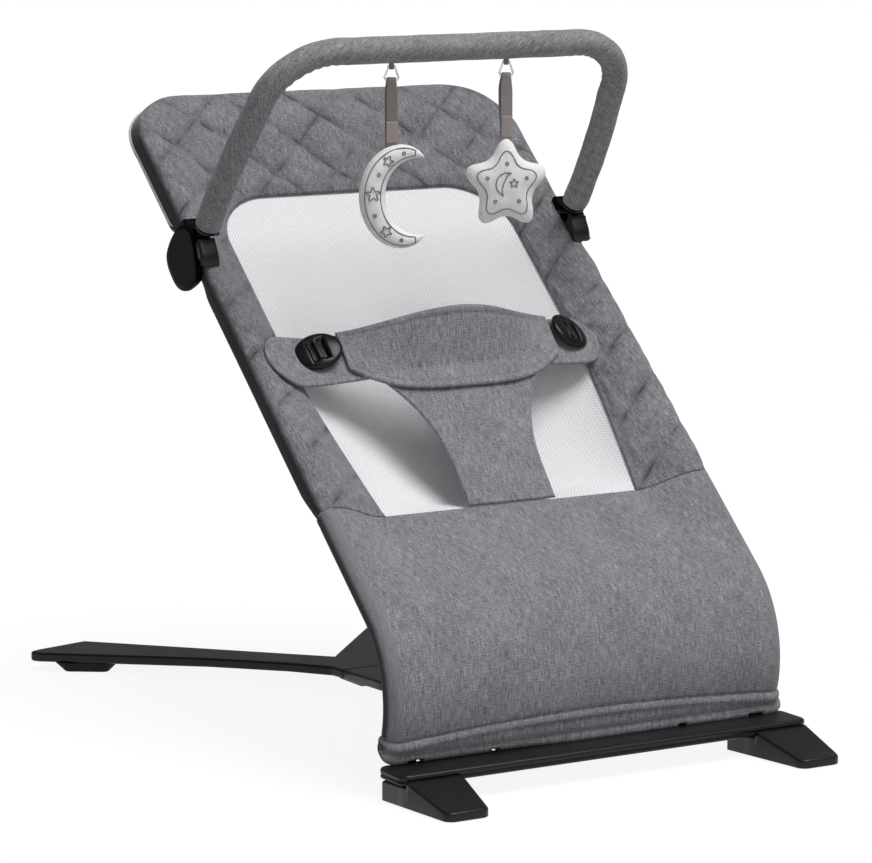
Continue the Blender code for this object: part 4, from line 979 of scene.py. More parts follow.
def tube_path(t):
    """A side tube's middle line at a length t from the hinge: s, n and direction, an arc then straight."""
    direction = BEND_TURN - np.minimum(t, BEND_LENGTH) / BEND_RADIUS
    s = BEND_RADIUS * (math.sin(BEND_TURN) - np.sin(direction)) + np.maximum(t - BEND_LENGTH, 0)
    n = BEND_RADIUS * (np.cos(direction) - math.cos(BEND_TURN))
    return s, n, direction


def panel_middle(c, t):
    """Middle layer above the hem: c from -1 to 1 between the tubes, up to 2 round them; t up the tube."""
    s, n, direction = tube_path(t)
    past = np.maximum(np.abs(c) - 1, 0) * WRAP
    x = np.clip(c, -1, 1) * TUBE_SPAN
    k = (TUBE_SPAN - np.abs(x)) / (TUBE_SPAN - WINDOW_HALF[0])
    dip = RIM_DROP * ease((t - BEND_LENGTH) / (PANEL_TOP - BEND_LENGTH)) * ease(k)
    dip = dip + LAP_LIFT * ease(1 - (PANEL_TOP - t) / LAP_REACH)
    wave = 0.0011 * ripples(x * 0.35, t, 0.055, 11) + 0.0006 * ripples(x, t, 0.070, 12)
    free = ease((1 - np.abs(c)) / 0.10) * ease((t - PANEL_LOW) / 0.02) * ease((PANEL_TOP - t) / 0.010)
    full = HEM_FULL * ease((PANEL_LOW - t) / 0.010) * mix(1, np.maximum(np.cos(past), 0), 0.7)
    up = np.where(past > 0, (COVER + full) * np.cos(past), COVER + full - dip + wave * free)
    x = x + np.sign(c) * (COVER + full) * np.sin(past)
    return on_seat(x, s - np.sin(direction) * up, n + np.cos(direction) * up)


def hem_middle(c, turn):
    """Middle layer of the hem: a cylinder round the cross tube, fuller in front, with a ball at each end.

    The ball's lines run on from the wraps round the side tubes, so c past 1 is the same angle on both.
    """
    around = BEND_TURN + RIGHT_ANGLE + turn
    past = np.minimum(np.maximum(np.abs(c) - 1, 0) * WRAP, RIGHT_ANGLE)
    bulge = HEM_BULGE * mix(0.62, 1.0, ease((c + 0.40) / 0.35)) * bump_at(turn, 0.56, 0.46) * ease(turn / 0.5)
    radius = COVER + (HEM_FULL * (1 - ease(turn / 1.08)) + bulge) * mix(1, np.cos(past), 0.7)
    flare = 1 + HEM_FLARE * ease(turn / 0.6)
    x = np.clip(c, -1, 1) * TUBE_SPAN + np.sign(c) * radius * np.sin(past) ** 0.8 * flare
    reach = radius * np.cos(past) ** 0.8
    return on_seat(x, reach * np.cos(around), reach * np.sin(around))


# %% Lower panel: its grid
BRACKETS = ((0.0960, 0.0060), (0.1745, 0.0130))
SLOT_PLAY = 0.0015
SLOT_FROM = math.radians(24)
POLE = RIGHT_ANGLE / WRAP


def fine_steps(marks, step):
    """Even steps of about one size between marks that have to be kept."""
    pairs = zip(marks, marks[1:])
    parts = [np.linspace(a, b, max(2, math.ceil((b - a) / step) + 1))[:-1] for a, b in pairs]
    return np.concatenate(parts + [marks[-1:]])


slots = [[(at + side * (width / 2 + SLOT_PLAY)) / TUBE_SPAN for side in (-1, 1)] for at, width in BRACKETS]
edges = [edge for slot in slots for edge in slot]
between = fine_steps([-1.0, *(-e for e in reversed(edges)), *edges, 1.0], 0.012)
around = 1 + np.concatenate((np.linspace(0, POLE, 14)[1:], np.linspace(POLE, 1, 8)[1:]))
across = np.concatenate((-around[::-1], between, around))
heights = np.concatenate((
    PANEL_TOP - np.array((0, 0.0004, 0.0010, 0.0018)),
    np.linspace(PANEL_TOP - 0.0030, PANEL_LOW + 0.006, 90),
    np.linspace(PANEL_LOW + 0.006, 0.0, 21)[1:],
))
turns = np.linspace(0, HEM_TURN, 45)[1:]
C, T = np.meshgrid(across[::-1], heights)
HC, HT = np.meshgrid(across[::-1], turns)
mid_c = np.abs(across[1:] + across[:-1]) / 2
mid_turn = np.concatenate((np.full(len(heights), -1.0), (turns[1:] + turns[:-1]) / 2))[:, None]
in_slot = np.any([(low < mid_c) & (mid_c < high) for low, high in slots], axis=0)
on_hem = np.arange(len(mid_turn))[:, None] >= len(heights) - 1
kept = ~((on_hem & (mid_c > 1 + POLE)) | ((mid_turn > SLOT_FROM) & in_slot))

# %% Lower panel: both faces, with the hem's groove
middle = np.concatenate((panel_middle(C, T), hem_middle(HC, HT)))
normal = normals_of(middle)
pole = np.isclose(np.abs(C[0]), 1 + POLE)
normal[len(heights):, pole] = np.sign(C[0, pole])[:, None] * ACROSS
seam = np.concatenate((T - PANEL_LOW, -PANEL_LOW - HT * COVER))
from_top = np.concatenate((PANEL_TOP - T, 0 * HT + 1))
from_side = np.concatenate(((2 - np.abs(C)) * 0.03, 0 * HC + 1))
from_end = np.concatenate((0 * T + 1, (HEM_TURN - HT) * COVER))
sideways = np.concatenate((C, HC))
hem_line = seam + PANEL_LOW - mix(*HEM_SEAM, np.clip(sideways, -1, 1) ** 2)
groove = bump_at(hem_line, 0.0012, 0.0011) * 1.2 + bump_at(from_top, 0.007, 0.0010) * 0.35
ridge = bump_at(hem_line, -0.0036, 0.0030) * 1.4
half = pillow(np.minimum(np.minimum(from_top, from_side), from_end), 0.0018) * CLOTH / 2
front = middle + normal * (half + 0.001 * (ridge - groove) * np.clip(half / 0.0015, 0, 1))[..., None]
points, faces = two_sided(front, middle - normal * half[..., None], kept)
panel = new_piece(
    "lower_panel_cover", points, faces, "seat", panel_cloth,
    both(np.stack((sideways * TUBE_SPAN, seam), -1)), ["lower_panel"],
)

# %% [markdown]
# ## The mesh panel
#
# The mesh is sewn behind the rim of the window and hangs free, so a child sits in it as in a hammock.
# It is tight near the rim and slack in the middle. Where the seat turns into the floor of the pocket the
# knit creases, because it is cut from one flat piece, and below that crease it climbs back to the edge
# of the lower panel. The depth is one curve up the seat times one curve across it.

# %% Mesh panel
MESH_THICK = 0.0016
MESH_MARGIN = 0.0080
MESH_SAG = 0.0440
MESH_LEVEL = TUBE_N + COVER - RIM_DROP - (CLOTH + MESH_THICK) / 2 - SEAM_GAP
SAG_AT = 0.2900
CREASE_AT = 0.30
CREASE_DEPTH = 0.66


def mesh_depth(x, s):
    """How far the mesh hangs: (1 - (x / half)^2)^0.75 across, times a creased curve up the seat."""
    across = np.clip(1 - (x / window_half(s)) ** 2, 0, 1) ** 0.75
    t = (s - WINDOW_LOW) / (SAG_AT - WINDOW_LOW)
    floor = np.clip(t / CREASE_AT, 0, 1) * CREASE_DEPTH
    above = np.clip((t - CREASE_AT) / (1 - CREASE_AT), 0, 1)
    back = CREASE_DEPTH + (1 - CREASE_DEPTH) * np.sin(RIGHT_ANGLE * above)
    high = ease((WINDOW_HIGH - s) / (WINDOW_HIGH - SAG_AT))
    return MESH_SAG * across * np.where(s < SAG_AT, np.where(t < CREASE_AT, floor, back), high)


high = WINDOW_HIGH + MESH_MARGIN
corner = WINDOW_CORNER + MESH_MARGIN
climb = np.concatenate((
    np.linspace(WINDOW_LOW - MESH_MARGIN * 0.5, high - corner, 110),
    high - corner * (1 - np.sin(np.linspace(0, RIGHT_ANGLE, 18)[1:])),
))
K, S = np.meshgrid(crowded(91, 0.35), climb)
over = np.maximum(S - (high - corner), 0)
X = K * (window_half(S) + MESH_MARGIN + np.sqrt(np.maximum(corner ** 2 - over ** 2, 0)) - corner)
depth = mesh_depth(X, np.clip(S, WINDOW_LOW, WINDOW_HIGH))
slack = 0.0009 * ripples(X, S * 0.5, 0.045, 21) * np.clip(depth / 0.01, 0, 1)
middle = on_seat(X, S, MESH_LEVEL - depth + slack)
edge = np.minimum((1 - np.abs(K)) * 0.12, np.minimum(S - climb[0], climb[-1] - S))
layer = normals_of(middle) * (pillow(edge, 0.0012) * MESH_THICK / 2)[..., None]
points, faces = two_sided(middle + layer, middle - layer)
mesh_panel = new_piece(
    "mesh_panel_cover", points, faces, "seat", window_mesh, both(np.stack((X, S), -1)),
    ["mesh_panel"],
)

# %% [markdown]
# ## The harness
#
# A strap rises between the child's legs and widens into a belt, whose wings are sewn to the border. A
# flap is folded over the front of it. All three follow one curved sheet: low at the wings, arching out
# over the child in the middle and gaping at the top. Each is two layers of cloth with a little wadding,
# turned in and topstitched 6 mm inside its edge, so it is rounded at the rim and pinched at the seam.
# The right wing is shorter than the left and lies lower, as in the photograph.

# %% The curved sheet that the harness follows
BELT_LOW = 0.3400
BELT_TOP = 0.3980
BELT_DIP = 0.0180
BELT_HALF = 0.1860
BELT_RIGHT = 0.1640
BELT_END = 0.0280
RIGHT_DROP = 0.0042
RIGHT_DROP_FROM = 0.1360
MOUTH_HALF = 0.1500
WING_N = (0.0040, 0.0130)
MOUTH_RISE = (0.0115, 0.0455)
STRAP_HALF = (0.0450, 0.0850)
STRAP_EVEN = 0.033


def belt_top(x):
    """Upper edge of the belt: level at the wings, dipping to the middle by a parabola."""
    return BELT_TOP - BELT_DIP * np.clip(1 - (x / MOUTH_HALF) ** 2, 0, 1)


def harness_n(x, s):
    """Height of the first layer: wings on the covers, and a squared cosine of x that grows up the belt."""
    wing = mix(*WING_N, ease((np.abs(x) - MOUTH_HALF) / (BELT_HALF - MOUTH_HALF)))
    wing = wing - RIGHT_DROP * ease((x - RIGHT_DROP_FROM) / (BELT_RIGHT - RIGHT_DROP_FROM))
    arch = np.cos(RIGHT_ANGLE * np.minimum(np.abs(x) / MOUTH_HALF, 1)) ** 2
    low = wing + MOUTH_RISE[0] * arch
    up = np.maximum(s - BELT_LOW, 0) / (belt_top(x) - BELT_LOW)
    down = np.clip((s - WINDOW_LOW) / (BELT_LOW - WINDOW_LOW), 0, 1)
    strap = mix(COVER - RIM_DROP, low, down)
    return TUBE_N + np.where(s < BELT_LOW, strap, low + (MOUTH_RISE[1] - MOUTH_RISE[0]) * arch * up)


def strap_half(s):
    """Half width of the crotch strap: even low down, then flaring by a power of the height."""
    start = WINDOW_LOW + STRAP_EVEN
    return mix(*STRAP_HALF, np.clip((s - start) / (BELT_LOW - start), 0, 1) ** 2.2)


def padded_layer(name, x, s, edge, replaces, seed, lift=0.0, thick=CLOTH, seam=0.0060):
    """A turned and topstitched layer: x and s place it, edge is the distance from its rim.

    Half thickness: a quarter circle at the rim, a roll inside it and a pinch at the seam. Long soft
    wrinkles run across it.
    """
    crease = 0.0007 * ripples(x, s * 1.5, 0.045, seed) + 0.0003 * ripples(x, s, 0.016, seed + 1)
    middle = on_seat(x, s, harness_n(x, s) + lift + crease * np.clip(edge / 0.010, 0, 1))
    normal = normals_of(middle)
    relief = 0.22 * bump_at(edge, seam * 0.45, seam * 0.35) - 0.42 * bump_at(edge, seam, 0.0012)
    half = pillow(edge, 0.0016) * thick / 2
    points, faces = two_sided(
        middle + normal * (half * (1 + relief))[..., None], middle - normal * half[..., None]
    )
    uv = both(np.stack((x, s), -1))
    piece = new_piece(name, points, faces, "seat", seat_cloth, uv, replaces)


# %% Belt
straight = fine_steps([-(BELT_HALF - BELT_END), BELT_RIGHT - BELT_END], 0.0019)
turn = np.sin(np.linspace(0, RIGHT_ANGLE, 22)[1:])
past = np.concatenate((-turn[::-1], 0 * straight, turn))
belt_x = np.concatenate((straight[0] - BELT_END * turn[::-1], straight, straight[-1] + BELT_END * turn))
row = crowded(49, 0.4)
X, K = np.meshgrid(belt_x, row)
end = np.sqrt(np.maximum(1 - past ** 2, 0))
half_height = (belt_top(X) - BELT_LOW) / 2
S = BELT_LOW + half_height * (1 + K * end)
edge = half_height * (1 - np.sqrt(past ** 2 + (K * end) ** 2))
padded_layer("belt_cover", X, S, edge, ["belt"], 31)

# %% Crotch strap
strap_low = WINDOW_LOW + 3 * SEAM_GAP
strap_high = BELT_LOW - 4 * SEAM_GAP
K, S = np.meshgrid(crowded(61, 0.3), np.linspace(strap_low, strap_high, 80))
X = K * strap_half(S)
edge = np.minimum(strap_half(S) - np.abs(X), np.minimum(S - strap_low, strap_high - S) + 0.0016)
edge = np.where((np.abs(K) == 1) | (S == strap_low) | (S == strap_high), 0, edge)
padded_layer("crotch_strap_cover", X, S, edge, ["crotch_strap"], 33, seam=0.0055)

# %% Flap
FLAP_HALF = 0.1100
FLAP_LOW = 0.3170
FLAP_THICK = 0.0034
FLAP_LIFT = CLOTH + 4 * SEAM_GAP


def flap_low(x):
    """Lower edge of the flap: it rises from the middle to the belt by a cube."""
    return mix(FLAP_LOW, BELT_LOW + 0.010, (np.abs(x) / FLAP_HALF) ** 3)


X, K = np.meshgrid(crowded(121, 1.0) * FLAP_HALF, row)
S = mix(flap_low(X), belt_top(X), (K + 1) / 2)
edge = np.minimum((S - flap_low(X)) * 0.94, belt_top(X) - S)
edge = np.minimum(edge, (FLAP_HALF - np.abs(X)) * 1.4)
padded_layer("belt_flap_cover", X, S, edge, ["belt_flap"], 35, FLAP_LIFT, FLAP_THICK)

# %% [markdown]
# ## Buckles
#
# Two oval toggles of black acetal hold the harness. Each is a dome with a window in it, and a bar across
# the window that the webbing turns round. The dome is a height over an ellipse; the grid is a square
# squeezed into that ellipse, which keeps its cells even and has no pole.

# %% Buckles
BUCKLE_AT = (0.1323, 0.3735)
BUCKLE_HALF = (0.0220, 0.0190)
BUCKLE_LEAN = math.radians(23.0)
BUCKLE_LIFT = 0.0070
BUCKLE_WINDOW = (0.0076, 0.0106)
BUCKLE_BAR = 0.0024


def round_grid(steps):
    """A square grid squeezed into a disc: u sqrt(1 - v^2 / 2) and v sqrt(1 - u^2 / 2)."""
    u, v = np.meshgrid(steps, steps)
    return u * np.sqrt(1 - v ** 2 / 2), v * np.sqrt(1 - u ** 2 / 2)


def buckle(side, word):
    """A dome, which is a power of 1 - r^2, with a window sunk in it and a bar across the window."""
    a, b = round_grid(np.linspace(-1, 1, 91))
    x, y = BUCKLE_HALF[0] * a, BUCKLE_HALF[1] * b
    rim = np.clip(1 - a ** 2 - b ** 2, 0, 1)
    box = np.maximum(np.abs(x) / BUCKLE_WINDOW[0], np.abs(y) / BUCKLE_WINDOW[1]) ** 8
    bar = np.clip(1 - (x / BUCKLE_BAR) ** 6, 0, 1) ** 0.5
    dome = -0.0012 + 0.0056 * rim ** 0.42 - 0.0007 * rim - mix(0.0044, 0.0012, bar) / (1 + box ** 2)
    back = -0.0012 - 0.0019 * rim ** 0.3
    cos, sin = math.cos(side * BUCKLE_LEAN), math.sin(side * BUCKLE_LEAN)
    middle = side * BUCKLE_AT[0], BUCKLE_AT[1], harness_n(*BUCKLE_AT) + BUCKLE_LIFT
    shells = [
        on_seat(middle[0] + x * cos + z * sin, middle[1] + y, middle[2] - x * sin + z * cos)
        for z in (dome, back)
    ]
    points, faces = two_sided(*shells)
    new_piece("buckle_cover_" + word, points, faces, "seat", acetal, None, ["buckle_" + word])


for side, word in SIDES:
    buckle(side, word)

# %% [markdown]
# ## Bands
#
# Webbing and ribbon are bent without being stretched, so each is one path swept straight sideways. The
# middle line is smoothed through a few points by a cubic curve, and the band gets its thickness from
# the normal of that line.

# %% Bands along a path

def smooth_path(points, count):
    """Catmull-Rom curve through the points, at even steps of its length."""
    p = np.asarray(points, float)
    p = np.concatenate((2 * p[:1] - p[1:2], p, 2 * p[-1:] - p[-2:-1]))
    t = np.linspace(0, 1, 12, endpoint=False)[:, None]
    parts = [catmull_rom(*four, t) for four in zip(p, p[1:], p[2:], p[3:])]
    return resampled(np.concatenate(parts + [p[-2:-1]]), count)


def band(name, path, sideways, half_width, thick, body, finish, replaces, count=60):
    """A band along a path: sideways is its width's direction, half_width a number or one per step."""
    line, length = smooth_path(path, count)
    sideways = unit(np.asarray(sideways, float))
    normal = unit(np.cross(sideways, np.gradient(line, axis=0)))
    widths = np.atleast_1d(half_width)
    width = np.interp(length / length[-1], np.linspace(0, 1, len(widths)), widths)
    k = np.concatenate((np.linspace(-1, -0.9, 4)[:-1], np.linspace(-0.9, 0.9, 9), np.linspace(0.9, 1, 4)[1:]))
    middle = line[:, None] + sideways * (k[None, :, None] * width[:, None, None])
    edge = (1 - np.abs(k))[None, :] * width[:, None]
    ends = np.minimum(length, length[-1] - length)[:, None]
    layer = normal[:, None] * (pillow(np.minimum(edge, ends), 0.0005) * thick / 2)[..., None]
    points, faces = two_sided(middle + layer, middle - layer)
    uv = both(np.stack(np.broadcast_arrays(k * width[:, None], length[:, None]), -1))
    piece = new_piece(name, points, faces, body, finish, uv, replaces)
    return piece, length[-1]


# %% Webbing of the buckles
WEBBING_X = {"left": (0.176, 0.167, 0.156, 0.145), "right": (0.1545, 0.1520, 0.1490, 0.1450)}
WEBBING_UNDER = -0.0028
WEBBING_TURN = ((0.0066, -0.0026), (0.0034, -0.0006), (0.0036, 0.0034))
for side, word in SIDES:
    ahead = [(side * x, harness_n(x, BUCKLE_AT[1]) + WEBBING_UNDER) for x in WEBBING_X[word]]
    ahead += [(side * (BUCKLE_AT[0] + d), harness_n(*BUCKLE_AT) + up) for d, up in WEBBING_TURN]
    piece, long = band(
        "buckle_webbing_cover_" + word, [on_seat(x, BUCKLE_AT[1], n) for x, n in ahead], UP_SLOPE * side,
        0.0100, 0.0014, "seat", webbing, ["buckle_webbing_" + word],
    )

# %% [markdown]
# ## The toy bar
#
# The bar is a foam tube in a knitted sleeve of darker cloth, over the steel core. It is a circle swept
# along the arch: legs that lean in, two bends and a flat top. On the inside of each bend the sleeve has
# too much cloth, so it gathers into small folds across the bar. Its two ends are hemmed, a little
# narrower, with a ring of stitches.

# %% The arch's path
ARCH_LEAN = math.radians(35.0)
ARCH_UP = np.array((0.0, -math.sin(ARCH_LEAN), math.cos(ARCH_LEAN)))
ARCH_OUT = np.array((0.0, math.cos(ARCH_LEAN), math.sin(ARCH_LEAN)))
ARCH_LOW = 0.0085
ARCH_HIGH = 0.1950 + ARCH_LOW
ARCH_HALF = (0.1942, 0.1838)
ARCH_CORNER = 0.0600
ARCH_STRAIGHT = 0.018


def arch_path():
    """Half the arch's middle line (x, v), then mirrored, at even steps.

    A leg that leans in by a power of its height, a quarter circle and a straight line.
    """
    knee = ARCH_HIGH - ARCH_CORNER
    v = np.linspace(ARCH_LOW, knee, 40)
    start = ARCH_LOW + ARCH_STRAIGHT
    leg = np.stack((mix(*ARCH_HALF, np.clip((v - start) / (knee - start), 0, 1) ** 1.8), v), -1)
    bend = np.stack(arc(ARCH_HALF[1] - ARCH_CORNER, knee, ARCH_CORNER, 0, 90, 40), -1)[1:]
    half = np.concatenate((leg, bend))
    return resampled(np.concatenate((half * (-1, 1), half[::-1])), 620)


# %% Sleeve
SLEEVE = 0.0120
SLEEVE_MOUTH = 0.0085
FOLD_PITCH = 0.0105
FOLD_DEPTH = 0.0016

line, along = arch_path()
step = unit(np.gradient(line, axis=0))
outward = np.stack((-step[:, 1], step[:, 0]), -1)
turning = np.gradient(np.unwrap(np.arctan2(step[:, 1], step[:, 0])), along)
turning = np.abs(np.convolve(turning, np.hanning(61) / np.hanning(61).sum(), "same")) * ARCH_CORNER
A, P = np.meshgrid(along, np.linspace(0, 2 * np.pi, 97))
inner = np.clip(-np.cos(P), 0, 1) ** 1.5
folds = np.sin(2 * np.pi * A / FOLD_PITCH + 1.4 * ripples(A, P * 0.01, 0.03, 41))
folds = inner * np.clip(turning, 0, 1) * (0.5 + 0.5 * folds)
from_end = np.minimum(A, along[-1] - A)
hem = -0.0006 * ease(1 - from_end / 0.007) + 0.0003 * bump_at(from_end, 0.0095, 0.0020)
uneven = 0.00035 * ripples(A, P * SLEEVE, 0.028, 42) + 0.00025 * ripples(A * 0.3, P * SLEEVE, 0.012, 43)
radius = SLEEVE - SLEEVE_MOUTH * (1 - pillow(from_end, 0.0022)) + hem - FOLD_DEPTH * folds + uneven
out = outward[:, :1] * ACROSS + outward[:, 1:] * ARCH_UP
center = PIVOT + line[:, :1] * ACROSS + line[:, 1:] * ARCH_UP
skin = center + (np.cos(P)[..., None] * out + np.sin(P)[..., None] * ARCH_OUT) * radius[..., None]
for row in (skin[:, 0], skin[:, -1]):
    row -= (row - row[:-1].mean(axis=0)) * 0.42
skin[-1] = skin[0]
ends = [np.broadcast_to(skin[:-1, i].mean(axis=0), skin[:, :1].shape) for i in (0, -1)]
skin = np.concatenate((ends[0], skin, ends[1]), axis=1)
uv = np.pad(np.stack((P * SLEEVE, A), -1), ((0, 0), (1, 1), (0, 0)), "edge").reshape(-1, 2)
sleeve = new_piece(
    "toy_bar_sleeve_cover", skin.reshape(-1, 3), quads(numbered(skin)), "toy_bar", bar_cloth,
    uv, ["toy_bar_sleeve"],
)

# %% [markdown]
# ## What hangs from the bar
#
# A loop of tape sewn under the sleeve carries a clear ring, and the ring carries a toy on a ribbon that is
# folded over it and stitched to itself. The ring and the toy swing on their own joints, so each ribbon
# rides with its toy. Both are turned a little towards the child's left, as they hang in the photograph.

# %% Loops and ribbons
TOY_YAW = math.radians(-25.0)
TOY_RIGHT = np.array((math.cos(TOY_YAW), math.sin(TOY_YAW), 0.0))
TOY_BACK = np.array((-math.sin(TOY_YAW), math.cos(TOY_YAW), 0.0))
WORLD_UP = np.array((0.0, 0.0, 1.0))
RIBBON_TOP = -0.0124
RIBBON_LOW = -0.0690
RIBBON_WAIST = 0.0040
LOOP_HALF = 0.0020
LOOP_Y = (-0.0036, -0.0034, -0.0024, 0.0, 0.0024, 0.0034, 0.0036)
LOOP_Z = (0.0040, 0.0012, -0.0020, -0.0032, -0.0020, 0.0012, 0.0040)
RIBBONS = {
    "left": ((-0.0010, 0.0022, 0.0012), (0.0048, 0.0051, 0.0054)),
    "right": ((-0.0014, 0.0030, 0.0016), (0.0050, 0.0053, 0.0050)),
}
hooks = {word: np.array(joints["ring_swing_" + word]["pos_m"], float) for _, word in SIDES}


def hanging(word, x, y, z):
    """World points from the hook of a toy: x to its right, y behind it, z up."""
    return from_origin(hooks[word], (TOY_RIGHT, TOY_BACK, WORLD_UP), (x, y, z))


for word, ((aside, behind, low_behind), (narrow, wide, front_wide)) in RIBBONS.items():
    piece, long = band(
        "bar_loop_cover_" + word, hanging(word, 0.0, LOOP_Y, LOOP_Z), TOY_RIGHT, LOOP_HALF, 0.0008,
        "toy_bar", loop_tape, ["bar_loop_" + word], 40,
    )
    stations = (
        (0.0003, -0.0008, RIBBON_LOW - 0.0045), (0.0004, -0.0009, -0.0500), (0.0004, -0.0010, -0.0300),
        (0.0002, -0.0014, -0.0190), (0.0, -0.0019, -0.0135), (0.0, 0.0, RIBBON_TOP + 0.0019),
        (-0.0004, 0.0019, -0.0135), (aside, behind, -0.0220), (aside, behind, -0.0380),
        (-0.0004, low_behind, -0.0560), (0.0, 0.0006, RIBBON_LOW - 0.0030),
    )
    taper = (wide,) * 4 + (RIBBON_WAIST,) + (narrow,) * 2 + (front_wide,) * 2
    piece, long = band(
        "strap_cover_" + word, hanging(word, *zip(*stations)), TOY_RIGHT, taper, 0.0007, "toy_" + word[0],
        ribbons[word], ["strap_" + word], 120,
    )
    end_z = np.linspace(RIBBON_LOW + 0.0010, RIBBON_LOW + 0.0200, 5)
    piece, long = band(
        "strap_end_" + word, hanging(word, 0.0004, -0.0016, end_z), TOY_RIGHT, front_wide - 0.0002, 0.0006,
        "toy_" + word[0], ribbon_light, [], 30,
    )

# %% [markdown]
# ## Soft toys
#
# Two stuffed shapes of brushed fleece: a crescent moon and a star. Each is two flat cut pieces sewn
# round their edge and filled, so it is fullest in the middle and pinched into a seam all round. The
# outline is known as a curve, and the fullness is a power of how far a point lies inside it.

# %% Outlines of moon and star
MOON = (0.0580, 0.0920)
STAR = (0.0720, 0.0760)
TOY_FULL = 0.0210
TOY_TOP = RIBBON_LOW - SEAM_GAP
MOON_ARC = MOON[1] * 0.40
MOON_TURN = math.radians(112.0)


def moon_swell(turn):
    """Share of the crescent's full width: a power of a cosine, zero at both horns."""
    return np.cos(turn / MOON_TURN * RIGHT_ANGLE) ** 0.75


def moon_plane(turn, across):
    """A crescent in the plane: across goes from -1 inside to 1 outside, on an arc that turns."""
    reach = MOON_ARC + MOON[0] * 0.235 * moon_swell(turn) * across + 0.004 * moon_swell(turn)
    return 0.55 * MOON_ARC - reach * np.cos(turn), reach * np.sin(turn) * 1.05


def star_edge(angle, parts=(1.0, 0.19, 0.03)):
    """Distance of a star's outline at an angle: a circle with five lobes, and ten small ones."""
    lobes = angle - RIGHT_ANGLE
    return parts[0] + parts[1] * np.cos(5 * lobes) + parts[2] * np.cos(10 * lobes)


def fitted(x, z, size, outline):
    """Scale and shift the plane so that the outline fills the size and its top lies at the ribbon."""
    ox, oz = outline
    x = (x - (ox.min() + ox.max()) / 2) * size[0] / (ox.max() - ox.min())
    z = (z - oz.max()) * size[1] / (oz.max() - oz.min()) + TOY_TOP
    return x, z


# %% Moon and star

def stuffed(word, name, x, z, inside, replaces):
    """Two sides of a filled shape, each inside^0.5 of half its fullness, with dimples of the filling."""
    full = TOY_FULL / 2 * np.sqrt(np.clip(inside, 0, 1))
    thick = full + 0.0006 * ripples(x, z, 0.014, 51) * np.clip(inside * 3, 0, 1)
    points, faces = two_sided(hanging(word, x, -thick, z), hanging(word, x, thick, z))
    piece = new_piece(name, points, faces, "toy_" + word[0], plush, None, replaces)
    return x, z, full


ends = np.linspace(-MOON_TURN, MOON_TURN, 400)
moon_outline = [np.concatenate(pair) for pair in zip(moon_plane(ends, 1.0), moon_plane(ends, -1.0))]
TURN, SIDE = np.meshgrid(crowded(150, 1.0) * MOON_TURN, crowded(61, 1.0))
inside = (1 - SIDE ** 2) * moon_swell(TURN) ** 2
flat = fitted(*moon_plane(TURN, SIDE), MOON, moon_outline)
moon_front = stuffed("left", "moon_toy_cover", *flat, inside, ["moon_toy"])

angle = np.linspace(0, 2 * np.pi, 400)
star_outline = star_edge(angle) * np.cos(angle), star_edge(angle) * np.sin(angle)
disc = round_grid(crowded(101, 1.0))
radius = np.hypot(*disc)
heading = np.arctan2(disc[1], disc[0])
reach = radius * mix(1.0, star_edge(heading), ease(radius))
flat = fitted(reach * np.cos(heading), reach * np.sin(heading), STAR, star_outline)
star_front = stuffed("right", "star_toy_cover", *flat, 1 - radius ** (2 / 0.7), ["star_toy"])

# %% [markdown]
# ## Stitches and embroidery
#
# Thread that stands proud of the cloth catches the light, so the topstitching is real: short beads laid
# along a line at even steps, a few dozen faces each, all in one mesh for each line's body. Embroidery is
# a satin stitch that hides its own threads, so it is one raised round line on the fleece. Both start
# from a path of points on a surface, and both take the surface's normal to stand on.

# %% Beads of thread
BEAD_RADIUS = 0.00028
BEAD_RINGS = np.array((-1.0, -0.75, 0.0, 0.75, 1.0))
BEAD_SHAPE = np.array((0.0, 0.75, 1.0, 0.75, 0.0))
BEAD_SIDES = 6


def even_path(points, step):
    """The same path at even steps of about one length."""
    return resampled(points, max(2, round(length_along(points)[-1] / step) + 1))[0]


def stitches(name, paths, body, pitch=0.0034, long=0.0024):
    """One mesh of beads along paths, each given as points and normals: a bead is a stack of rings."""
    turn = np.linspace(0, 2 * np.pi, BEAD_SIDES + 1)[:-1, None]
    found = []
    for points, normals in paths:
        marks = even_path(points, pitch)
        up = even_path(points + normals * 0.01, pitch)
        count = min(len(marks), len(up))
        centers = (marks[1:count] + marks[:count - 1]) / 2
        along = unit(marks[1:count] - marks[:count - 1])
        normal = (up[1:count] + up[:count - 1]) / 2 - centers
        normal = unit(normal - along * (normal * along).sum(axis=1, keepdims=True))
        side = np.cross(along, normal)
        along, side, normal, centers = (v[:, None, None] for v in (along, side, normal, centers))
        ring = side * np.cos(turn) + normal * np.sin(turn)
        bead = centers + along * (BEAD_RINGS * long / 2)[:, None, None] + normal * BEAD_RADIUS * 0.4
        found.append(bead + ring * (BEAD_SHAPE * BEAD_RADIUS)[:, None, None])
    beads = np.concatenate(found)
    size = len(BEAD_RINGS) * BEAD_SIDES
    index = np.pad(numbered(beads[0]), ((0, 0), (0, 1)), "wrap")
    faces = (quads(index)[None, :, ::-1] + (np.arange(len(beads)) * size)[:, None, None]).reshape(-1, 4)
    new_piece(name, beads.reshape(-1, 3), faces, body, seam_thread)
    print(name, len(beads), "stitches")


def line_on_seat(x, s, lift):
    """Points and normals along a line on the harness, at a height over its first layer."""
    step = 0.0005
    here = on_seat(x, s, harness_n(x, s) + lift)
    right = on_seat(x + step, s, harness_n(x + step, s) + lift) - here
    up = on_seat(x, s + step, harness_n(x, s + step) + lift) - here
    return here, unit(np.cross(right, up))


